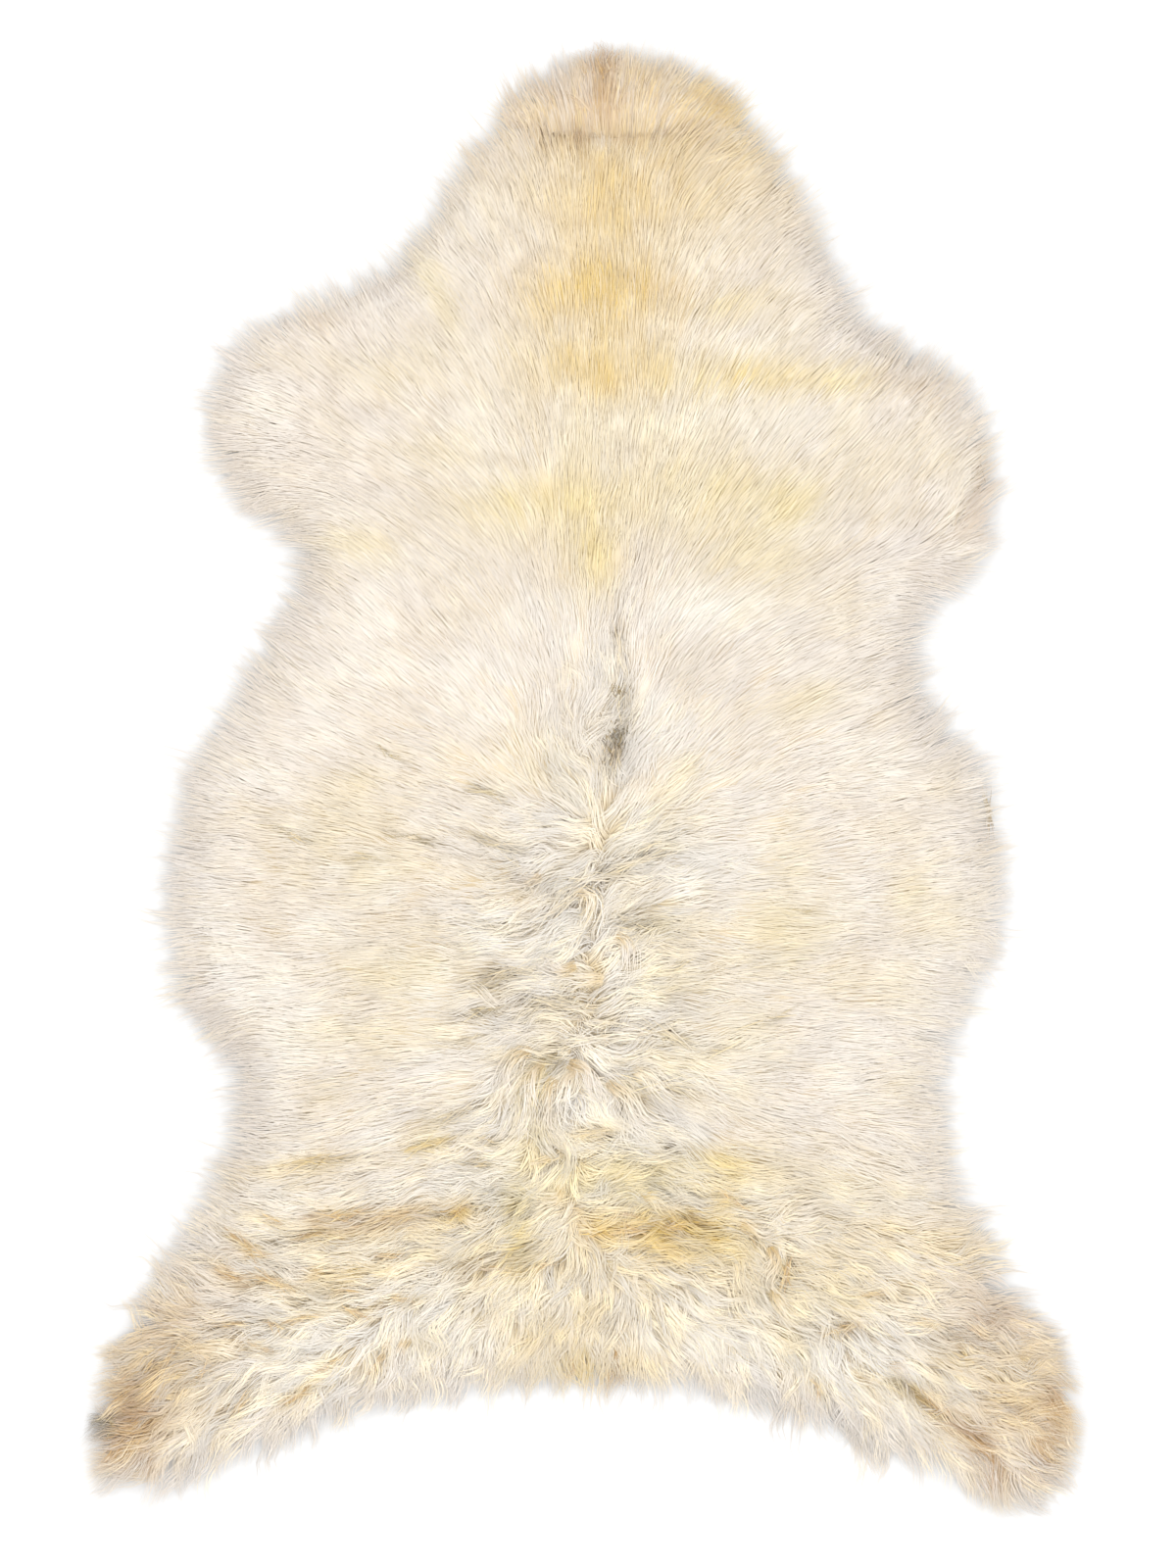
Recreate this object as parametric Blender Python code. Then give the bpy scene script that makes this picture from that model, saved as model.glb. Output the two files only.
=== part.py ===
"""Sheepskin rug: one whole pelt lying flat on the floor with its wool up.

The pelt is a slab of wool on its hide, thick along the back and rolled down to a low rim. Its plan is a
loft of cross-sections from the neck to the rump, each a smooth curve from the left edge over the spine to
the right edge. Locks of wool lie out from the rim and rest level on the floor.

Metres, +Z up, +Y towards the neck. The origin is on the floor under the middle of the outer box.
"""

import math
import random
from collections import namedtuple

import bmesh
import bpy
from mathutils import Vector, kdtree, noise

NAME = "pelt"
COLLECTION = "sheepskin_rug"
MM = 0.001

# Grid of the slab's top, and so the number of locks round its rim
ROWS = 76
COLUMNS = 40

# The slab takes up this share of the plan below, and the locks round its rim take up the rest
SLAB_ACROSS = 0.98
SLAB_ALONG = 0.992

# The wool's depth comes down from the table's to the rim's over the roll, and its relief dies out there
RIM_HEIGHT = 17.0
LEAST_HEIGHT = 12.0
ROLL_WIDTH = 95.0
RELIEF_FADE = 28.0

# Middle of the outer box, in the plan's millimetres
MIDDLE_X = -1.44
MIDDLE_Y = 8.41

# The plan in millimetres, and the depth of the wool on the spine
Section = namedtuple("Section", "left_x left_y spine_x spine_y right_x right_y depth")
SECTIONS = (
    Section(-98, 424, 22, 529, 159, 424, 27),  # neck
    Section(-116, 398, 20, 490, 168, 398, 33),
    Section(-140, 368, 18, 447, 182, 368, 37),
    Section(-187, 352, 17, 406, 192, 341, 39),  # shoulders and forelegs
    Section(-222, 337, 16, 368, 223, 316, 40),
    Section(-252, 319, 16, 332, 258, 301, 41),
    Section(-265, 292, 16, 298, 282, 272, 42),
    Section(-268, 264, 15, 264, 291, 238, 42),
    Section(-262, 236, 14, 233, 294, 202, 42),
    Section(-242, 210, 14, 202, 289, 172, 42),
    Section(-209, 189, 13, 174, 272, 151, 42),
    Section(-204, 152, 13, 142, 239, 129, 43),  # behind the forelegs
    Section(-216, 112, 13, 109, 235, 96, 43),
    Section(-242, 75, 13, 73, 238, 62, 44),
    Section(-264, 35, 14, 37, 262, 30, 44),
    Section(-287, -3, 12, 1, 285, 6, 45),  # flanks
    Section(-295, -44, 9, -42, 291, -37, 46),
    Section(-299, -89, 5, -89, 300, -89, 46),
    Section(-297, -129, 1, -132, 287, -125, 46),
    Section(-281, -167, -2, -172, 269, -167, 47),
    Section(-252, -199, -6, -208, 255, -207, 47),
    Section(-248, -248, -7, -244, 253, -248, 47),  # groin
    Section(-263, -288, -7, -276, 264, -287, 47),
    Section(-288, -332, -7, -312, 281, -328, 46),
    Section(-315, -379, -6, -347, 309, -379, 44),  # hind legs
    Section(-336, -419, -4, -375, 337, -421, 41),
    Section(-348, -458, -1, -400, 356, -462, 37),
    Section(-349, -492, 1, -417, 350, -495, 32),
    Section(-333, -522, 5, -431, 314, -528, 26),  # rump
)

# Partings and hollows in the wool, in millimetres: each a soft trough between two points
Trough = namedtuple("Trough", "start_x start_y end_x end_y width depth")
TROUGHS = (
    Trough(-72, 481, 122, 478, 11, 9),  # parting across the neck
    Trough(14, 92, 20, 10, 13, 15),  # crack on the spine, behind the shoulders
    Trough(-60, -50, -10, -80, 14, 9),  # hollows along the back
    Trough(10, -98, 52, -104, 12, 9),
    Trough(-66, -142, -8, -150, 13, 10),
    Trough(-30, -198, 30, -206, 13, 9),
    Trough(-118, -238, -66, -232, 13, 8),
    Trough(-22, -246, 24, -250, 13, 9),
    Trough(-208, -322, -118, -338, 12, 7),  # above the hind legs
    Trough(96, -330, 150, -352, 12, 8),
    Trough(222, -436, 292, -486, 12, 12),  # crease in the right hind leg
    Trough(-300, -420, -262, -398, 12, 7),
)

# Lumps of the wool: long and low where it lies combed, short and high where it curls
Lumps = namedtuple("Lumps", "length width height")
COMBED = Lumps(100.0, 25.0, 6.0)
CURLED = Lumps(46.0, 28.0, 11.0)
COMBED_ABOVE_Y = 230.0
CURLED_BELOW_Y = -60.0
PLAN_LENGTH = 1050.0
PLAN_HALF_WIDTH = 300.0

# Where the wool lies along the rug and not across it: up the neck, and down the middle of the rump
NECK_FROM_Y = 330.0
NECK_TO_Y = 430.0
RUMP_FROM_ALONG = 0.8
RUMP_TO_ALONG = 0.88
RUMP_HALF_WIDTH = 0.35
RUMP_FADE = 0.4

# Locks round the rim
LOCK_SHORTEST = 13.0
LOCK_LONGEST = 25.0
LOCK_SWEEP = 9.0
LOCK_NEIGHBOURS = 4
LOCK_IN_CORNER = 0.45
Ring = namedtuple("Ring", "reach width height")
LOCK_RINGS = (Ring(0.55, 0.82, 11.0), Ring(1.0, 0.26, 3.0))
LOCK_SEED = 7

# Places on the rim whose locks are longer
Tuft = namedtuple("Tuft", "x y radius longer")
TUFTS = (
    Tuft(16, 528, 14, 7.0),  # top of the neck
    Tuft(-349, -474, 20, 9.0),  # tip of the left hind leg
    Tuft(-330, -520, 26, 6.0),
    Tuft(316, -525, 26, 6.0),  # tip of the right hind leg
)

WOOL_COLOUR = (0.86, 0.78, 0.64, 1.0)
WOOL_ROUGHNESS = 0.9


def smooth_step(value):
    value = max(0.0, min(1.0, value))
    return value * value * (3.0 - 2.0 * value)


def section_at(along):
    """The section at a share of the way from the neck to the rump, on smooth curves through the table."""
    place = along * (len(SECTIONS) - 1)
    first = min(int(place), len(SECTIONS) - 2)
    t = place - first
    near = [SECTIONS[max(0, min(len(SECTIONS) - 1, first + step))] for step in (-1, 0, 1, 2)]
    weights = (
        0.5 * (-t + 2 * t**2 - t**3),
        0.5 * (2 - 5 * t**2 + 3 * t**3),
        0.5 * (t + 4 * t**2 - 3 * t**3),
        0.5 * (t**3 - t**2),
    )
    return Section(*(sum(w * value for w, value in zip(weights, column)) for column in zip(*near)))


def plan_point(across, along):
    """The plan position of a grid point: across runs from -1 at the left edge to 1 at the right."""
    s = section_at(along)
    bend_x = (s.left_x + s.right_x) / 2 - s.spine_x
    bend_y = (s.left_y + s.right_y) / 2 - s.spine_y
    x = s.spine_x + across * (s.right_x - s.left_x) / 2 + bend_x * across**2
    y = s.spine_y + across * (s.right_y - s.left_y) / 2 + bend_y * across**2
    return x, y, s.depth


def trough_depth(x, y):
    """How far the hand-placed troughs press the wool down at a point."""
    pressed = 0.0
    for trough in TROUGHS:
        run_x = trough.end_x - trough.start_x
        run_y = trough.end_y - trough.start_y
        share = ((x - trough.start_x) * run_x + (y - trough.start_y) * run_y) / (run_x**2 + run_y**2)
        share = max(0.0, min(1.0, share))
        away = math.hypot(x - trough.start_x - share * run_x, y - trough.start_y - share * run_y)
        pressed += trough.depth * math.exp(-((away / trough.width) ** 2))
    return pressed


def lengthwise(across, along, y):
    """How much the wool at a point lies along the rug, from 0 to 1."""
    neck = smooth_step((y - NECK_FROM_Y) / (NECK_TO_Y - NECK_FROM_Y))
    rump = smooth_step((along - RUMP_FROM_ALONG) / (RUMP_TO_ALONG - RUMP_FROM_ALONG))
    return max(neck, rump * smooth_step((RUMP_HALF_WIDTH + RUMP_FADE - abs(across)) / RUMP_FADE))


def lump_height(across, along, y):
    """The rise and fall of the wool's tufts at a point."""
    curl = smooth_step((COMBED_ABOVE_Y - y) / (COMBED_ABOVE_Y - CURLED_BELOW_Y))
    length, width, height = (a + (b - a) * curl for a, b in zip(COMBED, CURLED))
    side = across * PLAN_HALF_WIDTH
    down = along * PLAN_LENGTH
    crosswise_lump = noise.noise(Vector((side / length, down / width, 0.0)))
    lengthwise_lump = noise.noise(Vector((side / width, down / length, 5.0)))
    share = lengthwise(across, along, y)
    return height * (crosswise_lump * (1.0 - share) + lengthwise_lump * share)


def pile_height(depth, inset, relief):
    """The height of the wool over the floor, at a distance in from the rim."""
    share = min(1.0, inset / ROLL_WIDTH)
    roll = math.sqrt(1.0 - (1.0 - share) ** 2)
    kept = min(1.0, inset / RELIEF_FADE)
    return max(LEAST_HEIGHT, RIM_HEIGHT + (depth - RIM_HEIGHT) * roll + relief * kept)


def lay_top(bm):
    """The wool's upper surface: a grid laid out over the plan and raised to the height of the wool."""
    bmesh.ops.create_grid(bm, x_segments=COLUMNS, y_segments=ROWS, size=1.0)
    wool = {}
    for vert in bm.verts:
        across = vert.co.x
        along = (1.0 - vert.co.y) / 2
        x, y, depth = plan_point(SLAB_ACROSS * across, 0.5 + SLAB_ALONG * (along - 0.5))
        wool[vert] = (depth, lump_height(across, along, y) - trough_depth(x, y))
        vert.co = Vector((x, y, 0.0))
    edge = [vert for vert in bm.verts if vert.is_boundary]
    rim = kdtree.KDTree(len(edge))
    for index, vert in enumerate(edge):
        rim.insert(vert.co, index)
    rim.balance()
    insets = [rim.find(vert.co)[2] for vert in wool]
    for (vert, (depth, relief)), inset in zip(wool.items(), insets):
        vert.co.z = pile_height(depth, inset, relief)


def rim_walls(bm):
    """Draws the rim down to the floor, closes the underside flat, and returns the walls round it in order."""
    rim = [edge for edge in bm.edges if edge.is_boundary]
    drawn = bmesh.ops.extrude_edge_only(bm, edges=rim)["geom"]
    for vert in (item for item in drawn if isinstance(item, bmesh.types.BMVert)):
        vert.co.z = 0.0
    foot = [edge for edge in bm.edges if edge.is_boundary]
    underside = bmesh.ops.contextual_create(bm, geom=foot)["faces"][0]
    bmesh.ops.recalc_face_normals(bm, faces=bm.faces)
    return [loop.link_loop_radial_next.face for loop in underside.loops]


def lock_length(root, rng, turn):
    """The length of a lock: uneven, shorter in an inward corner, longer at a named tuft."""
    length = rng.uniform(LOCK_SHORTEST, LOCK_LONGEST)
    for tuft in TUFTS:
        if math.hypot(root.x - tuft.x, root.y - tuft.y) < tuft.radius:
            length += tuft.longer
    return length * max(LOCK_IN_CORNER, 1.0 + min(0.0, turn))


def grow_lock(bm, wall, outward, length, sweep):
    """Draws one wall out into a lock, narrower and lower at each ring and level underneath."""
    side = Vector((-outward.y, outward.x, 0.0))
    root = wall.calc_center_median()
    width = 1.0
    centre = root
    face = wall
    for ring in LOCK_RINGS:
        face = bmesh.ops.extrude_discrete_faces(bm, faces=[face])["faces"][0]
        moved = root + outward * (length * ring.reach) + side * (sweep * ring.reach**2)
        for vert in face.verts:
            offset = (vert.co - centre).dot(side) * ring.width / width
            height = ring.height if vert.co.z > 0 else 0.0
            vert.co = Vector((moved.x + side.x * offset, moved.y + side.y * offset, height))
        centre = moved
        width = ring.width


def comb_rim(bm, walls):
    """Turns each wall round the rim into a lock of wool. The walls run clockwise, seen from above."""
    rng = random.Random(LOCK_SEED)
    normals = [wall.normal.copy() for wall in walls]
    for index, wall in enumerate(walls):
        before = normals[index - LOCK_NEIGHBOURS]
        after = normals[(index + LOCK_NEIGHBOURS) % len(walls)]
        turn = after.cross(before).z
        length = lock_length(wall.calc_center_median(), rng, turn)
        grow_lock(bm, wall, normals[index], length, rng.uniform(-LOCK_SWEEP, LOCK_SWEEP))


def wool_material():
    material = bpy.data.materials.new("wool")
    material.use_nodes = True
    shader = material.node_tree.nodes["Principled BSDF"]
    shader.inputs["Base Color"].default_value = WOOL_COLOUR
    shader.inputs["Roughness"].default_value = WOOL_ROUGHNESS
    material.diffuse_color = WOOL_COLOUR
    return material


def clear_scene():
    for obj in list(bpy.data.objects):
        bpy.data.objects.remove(obj, do_unlink=True)


def build_pelt(collection):
    bm = bmesh.new()
    lay_top(bm)
    comb_rim(bm, rim_walls(bm))
    bmesh.ops.translate(bm, verts=bm.verts, vec=(-MIDDLE_X, -MIDDLE_Y, 0.0))
    bmesh.ops.scale(bm, verts=bm.verts, vec=(MM, MM, MM))
    bmesh.ops.recalc_face_normals(bm, faces=bm.faces)
    mesh = bpy.data.meshes.new(NAME)
    bm.to_mesh(mesh)
    bm.free()
    mesh.materials.append(wool_material())
    mesh.shade_smooth()
    pelt = bpy.data.objects.new(NAME, mesh)
    collection.objects.link(pelt)
    return pelt


def main():
    clear_scene()
    collection = bpy.data.collections.new(COLLECTION)
    bpy.context.scene.collection.children.link(collection)
    build_pelt(collection)


main()
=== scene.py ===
"""Sheepskin rug: a hide laid flat on a pale floor, and the wool that grows on it, as locks of fine ribbons.

The wool is combed up the neck, out over the flanks and down the rump, and curls along the back and the
legs. Each strand belongs to a lock, follows the lock's path over the rug's surface and ends near the rim.
Places are in millimetres on the floor, +X right and +Y towards the neck, from the middle of the rug.
"""

import math
from collections import namedtuple

import bpy
import numpy as np
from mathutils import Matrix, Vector, kdtree
from mathutils.bvhtree import BVHTree


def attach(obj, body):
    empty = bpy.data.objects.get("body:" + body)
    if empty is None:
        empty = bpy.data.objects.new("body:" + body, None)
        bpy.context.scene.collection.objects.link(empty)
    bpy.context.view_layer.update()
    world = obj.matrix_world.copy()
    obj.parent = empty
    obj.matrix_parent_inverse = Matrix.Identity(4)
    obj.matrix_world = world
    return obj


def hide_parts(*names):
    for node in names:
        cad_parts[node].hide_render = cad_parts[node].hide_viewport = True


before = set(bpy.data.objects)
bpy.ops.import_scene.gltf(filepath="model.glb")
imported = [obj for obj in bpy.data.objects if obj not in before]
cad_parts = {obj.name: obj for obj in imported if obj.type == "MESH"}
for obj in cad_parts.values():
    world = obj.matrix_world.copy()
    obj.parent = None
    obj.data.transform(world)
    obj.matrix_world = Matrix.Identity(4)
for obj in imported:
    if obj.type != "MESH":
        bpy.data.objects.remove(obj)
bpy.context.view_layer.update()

MM = 0.001
SEED = 11


def rows_of(columns, *rows):
    """A table: its rows, each with these named columns."""
    Row = namedtuple("Row", columns)
    return [Row(*row) for row in rows]


# The rug's plan, in millimetres from the table's own origin: the left edge, the spine and the right edge
MIDDLE = np.array((-1.44, 8.41))
SECTIONS = rows_of(
    "left_x left_y spine_x spine_y right_x right_y",
    (-98, 424, 22, 529, 159, 424),  # neck
    (-116, 398, 20, 490, 168, 398),
    (-140, 368, 18, 447, 182, 368),
    (-187, 352, 17, 406, 192, 341),  # shoulders and forelegs
    (-222, 337, 16, 368, 223, 316),
    (-252, 319, 16, 332, 258, 301),
    (-265, 292, 16, 298, 282, 272),
    (-268, 264, 15, 264, 291, 238),
    (-262, 236, 14, 233, 294, 202),
    (-242, 210, 14, 202, 289, 172),
    (-209, 189, 13, 174, 272, 151),
    (-204, 152, 13, 142, 239, 129),  # behind the forelegs
    (-216, 112, 13, 109, 235, 96),
    (-242, 75, 13, 73, 238, 62),
    (-264, 35, 14, 37, 262, 30),
    (-287, -3, 12, 1, 285, 6),  # flanks
    (-295, -44, 9, -42, 291, -37),
    (-299, -89, 5, -89, 300, -89),
    (-297, -129, 1, -132, 287, -125),
    (-281, -167, -2, -172, 269, -167),
    (-252, -199, -6, -208, 255, -207),
    (-248, -248, -7, -244, 253, -248),  # groin
    (-263, -288, -7, -276, 264, -287),
    (-288, -332, -7, -312, 281, -328),
    (-315, -379, -6, -347, 309, -379),  # hind legs
    (-336, -419, -4, -375, 337, -421),
    (-348, -458, -1, -400, 356, -462),
    (-349, -492, 1, -417, 350, -495),
    (-333, -522, 5, -431, 314, -528),  # rump
)

# The way the wool lies, in degrees from +X towards +Y, at places across the rug from its left edge to
# its right, by the number of the section
COMB_ACROSS = (-1.0, -0.5, -0.25, -0.08, 0.08, 0.25, 0.5, 1.0)
COMBS = rows_of(
    "row left_edge left near_left spine_left spine_right near_right right right_edge",
    (0, 118, 106, 99, 93, 84, 66, 45, 44),
    (1, 124, 103, 97, 92, 86, 68, 48, 42),
    (2, 130, 102, 96, 91, 88, 72, 54, 36),
    (3, 136, 120, 104, 92, 88, 70, 50, 36),
    (4, 142, 128, 108, 92, 86, 66, 47, 42),
    (6, 164, 131, 112, 92, 84, 68, 50, 48),
    (8, 166, 146, 118, 88, 78, 64, 48, 62),
    (10, 156, 138, 112, 86, 80, 56, 32, 12),
    (12, 146, 133, 116, 96, 78, 54, 32, 25),
    (13, 149, 142, 124, 98, 74, 52, 30, 28),
    (14, 156, 160, 138, 104, 62, 42, 27, 18),
    (15, 162, 164, 160, 130, 60, 34, 17, 8),
    (16, 173, 169, 164, 205, 30, 10, 6, 10),
    (17, 178, 176, 176, 209, 22, -2, 2, 12),
    (18, 180, 180, 178, 190, 24, 8, 3, 2),
    (19, 181, 181, 187, 184, 3, -8, 2, 1),
    (20, 182, 182, 193, 192, 0, -5, 3, 0),
    (21, 184, 186, 200, 208, -14, -42, -18, -5),
    (22, 184, 186, 194, 206, 6, -6, -6, -6),
    (23, 166, 184, 192, 194, 6, -2, -5, -10),
    (24, 158, 176, 196, 226, -46, -20, -6, -22),
    (25, 196, 180, 216, 262, -86, -46, -10, -30),
    (26, 214, 200, 232, 250, -80, -58, -24, -36),
    (28, 226, 226, 246, 267, -88, -66, -48, -42),
)

# Where the flow turns aside from that table, along the back, in the loin and on the hind legs: the middle
# of the place, its size, and the turn in degrees
SWIRLS = rows_of(
    "x y radius turn",
    (-50, -238, 20, 75), (-24, -268, 17, 115), (24, -240, 15, -115), (-20, -46, 14, -40),
    (-34, -128, 14, 30), (-12, -156, 13, -50), (22, -186, 14, 40), (14, 38, 16, -30),
    (-36, 46, 18, -25), (-60, -300, 15, -45), (20, -306, 14, 60), (-136, -420, 30, 55),
    (176, -426, 24, -40), (130, -352, 18, -60), (300, -480, 26, 24), (-60, -330, 18, 40),
    (30, -336, 14, 60), (80, -330, 16, -50),
)

# How strongly the wool curls, from 0, combed straight, to 1, at shares of the way from the spine to the
# edge, by the number of the section
CURL_ACROSS = (0.0, 0.2, 0.42, 1.0)
CURLS = rows_of(
    "row spine near middle edge",
    (0, 0.06, 0.06, 0.06, 0.08),
    (9, 0.12, 0.08, 0.06, 0.08),
    (12, 0.22, 0.12, 0.08, 0.10),
    (14, 0.55, 0.30, 0.12, 0.12),
    (17, 0.85, 0.48, 0.18, 0.14),
    (20, 0.90, 0.52, 0.22, 0.16),
    (22, 1.00, 0.80, 0.40, 0.28),
    (24, 0.85, 0.85, 0.80, 0.60),
    (26, 0.60, 0.70, 0.95, 0.85),
    (28, 0.45, 0.50, 0.75, 0.70),
)

# Hollows pressed into the wool, where its shaded depth shows: the middle, the way it runs, and its size
CREASES = rows_of(
    "x y turn half_length width depth",
    # folds at the right rim
    (290, 222, 88, 20, 3, 8), (277, 186, 88, 14, 4, 8), (298, -30, 104, 20, 3, 8),
    # the crack on the spine
    (27, 88, 100, 24, 5, 7), (30, 50, 84, 14, 6, 12), (24, 22, 72, 20, 6, 15),
    # the back, the loin and the flanks
    (-70, -14, -18, 16, 4, 8), (-62, -52, -16, 26, 4, 9), (-44, -74, -52, 18, 4, 10),
    (10, -76, 12, 22, 4, 9), (44, -62, 24, 26, 4, 8), (-18, -98, 34, 24, 4, 10), (36, -110, -14, 16, 5, 12),
    (-66, -112, -6, 16, 4, 8), (-54, -146, 10, 24, 6, 14), (-20, -168, -8, 26, 6, 14),
    (-76, -174, 8, 18, 4, 10), (2, -194, 4, 22, 4, 8), (60, -190, -22, 26, 4, 9), (-22, -209, 0, 8, 5, 12),
    (96, -202, 8, 20, 3, 6), (134, -180, 20, 22, 3, 6), (56, -226, -8, 30, 3, 6),
    (-92, -248, 26, 16, 4, 10), (-112, -270, 14, 26, 3, 8), (8, -262, 8, 18, 5, 9),
    (-28, -282, 20, 14, 4, 8), (-124, -47, -12, 20, 3, 7), (-142, 14, -30, 14, 3, 6),
    (-218, -42, -26, 22, 3, 6), (-158, -62, -8, 16, 3, 5), (-190, -282, 6, 34, 3, 6),
    (160, -100, 4, 12, 3, 7), (-39, -80, -50, 8, 2, 9), (5, -74, 20, 10, 3, 9), (-12, -84, 30, 10, 3, 10),
    (-17, -96, 60, 8, 2, 9), (51, -52, 25, 14, 2, 8), (-46, -116, 20, 12, 3, 10), (75, -137, 16, 10, 2, 8),
    (-71, -158, -6, 12, 2, 9), (15, -182, 4, 16, 3, 10), (55, -190, -36, 12, 2, 10),
    (-85, -194, 14, 12, 2, 8), (-77, -284, 4, 9, 3, 9), (-69, -268, -30, 8, 2, 9), (-69, -361, 0, 14, 2, 8),
    (-29, -359, 5, 9, 2, 8), (30, -322, 6, 12, 2, 5),
    # the rump and the hind legs
    (-176, -322, 10, 22, 4, 9), (-90, -318, 24, 14, 4, 9), (32, -334, 4, 20, 4, 4),
    (66, -330, 12, 12, 4, 3), (118, -334, -40, 12, 4, 9), (110, -312, -34, 14, 3, 7),
    (148, -366, 76, 14, 5, 10), (-244, -346, -30, 26, 4, 8), (-226, -372, -14, 24, 4, 8),
    (-262, -366, -34, 14, 3, 7), (-300, -424, 46, 20, 4, 8), (-150, -430, 62, 18, 4, 7),
    (-208, -454, 40, 20, 4, 7), (188, -406, 18, 14, 4, 8), (230, -448, -30, 7, 3, 14),
    (246, -459, -40, 14, 3, 17), (264, -474, -42, 10, 3, 10),
    # notches at the line across the neck
    (-29, 463, 84, 9, 2, 5), (-17, 465, 88, 6, 2, 4), (-4, 464, 90, 11, 3, 6), (4, 467, 90, 7, 2, 5),
    (19, 465, 92, 8, 2, 5), (34, 463, 86, 9, 2, 5), (52, 465, 80, 7, 2, 4),
    # more on the left hind leg
    (-200, -338, 10, 16, 3, 9), (-228, -326, -24, 12, 3, 8), (-140, -352, 8, 14, 3, 8),
    (-176, -378, 4, 14, 3, 8), (-224, -404, -30, 10, 3, 9), (-130, -384, -10, 12, 3, 8),
    (-318, -434, 40, 12, 3, 8), (-282, -440, 36, 16, 3, 8), (-262, -404, 10, 16, 3, 8),
    (-236, -420, -20, 12, 3, 8), (-252, -462, 60, 16, 3, 7), (-206, -398, 14, 18, 3, 8),
    (-186, -432, 30, 12, 3, 7), (-166, -394, -24, 12, 3, 7),
    # more on the right hind leg
    (284, -430, -40, 14, 3, 8), (252, -402, -14, 16, 3, 7), (214, -380, 4, 16, 3, 7),
    (206, -446, -56, 14, 3, 7), (312, -462, -44, 14, 3, 7), (170, -450, -60, 12, 3, 6),
)

# Folds that stand up from the wool: the middle, the way the fold runs, and its size
RIDGES = rows_of(
    "x y turn half_length width height",
    # at the rim of the right foreleg
    (283, 224, 84, 20, 5, 6), (269, 190, 86, 12, 5, 6), (282, 164, 4, 14, 4, 5),
    # at the rim of the right flank
    (291, -20, 104, 16, 4, 6), (232, -80, 76, 16, 4, 4), (214, -104, 60, 14, 4, 4),
)

# The line across the neck, where the wool below it ends over the wool above: its lowest place, its size,
# how far it bows up at its ends, and how far below it half of the locks are moved up to it
NECK_LINE_MIDDLE = 24.0
NECK_LINE_Y = 472.0
NECK_LINE_DEPTH = 5.5
NECK_LINE_WIDTH = 4.0
NECK_LINE_LEFT = -52.0
NECK_LINE_RIGHT = 92.0
NECK_LINE_FADE = 30.0
NECK_LINE_BOW = 8.0
NECK_LINE_REACH = 45.0
BELOW_NECK_LINE = NECK_LINE_Y - 20.0

# Above this the strands lie looser, and all loose this much further up
NECK_LOOSE_Y = 400.0
NECK_LOOSE_OVER = 60.0

# Colours of the wool, linear: its own cream, deeper at the roots, which is partly its own colour and partly
# painted shade of the wool's depths; the painted warm shade that the roots of curled locks are multiplied by;
# and the stains on it, with painted shade and painted highlights among them, each with a table of soft oval
# places
CREAM_DEEP = (0.76, 0.60, 0.34, 1.0)
CREAM_TIP = (0.86, 0.787, 0.712, 1.0)
PAINTED_ROOT_SHADE = (0.94, 0.84, 0.66, 1.0)
STAIN_AND_PAINTED_LIGHT_COLOURS = {
    # lilac is painted shade at the rim and a greyer tint elsewhere, grey is painted shade in creases and
    # gaps, and white also paints highlights on the ridges of folds
    "lilac": (0.78, 0.715, 0.672, 1.0),
    "grey": (0.22, 0.17, 0.10, 1.0),
    "white": (0.99, 0.952, 0.89, 1.0),
    "yellow": (0.88, 0.745, 0.37, 1.0),
    "gold": (0.82, 0.60, 0.18, 1.0),
    "tan": (0.62, 0.44, 0.27, 1.0),
    "rust": (0.48, 0.28, 0.125, 1.0),
    "soot": (0.07, 0.05, 0.045, 1.0),
}
STAIN_AND_PAINTED_LIGHT_COLUMNS = "x y half_length half_width turn strength"
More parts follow.
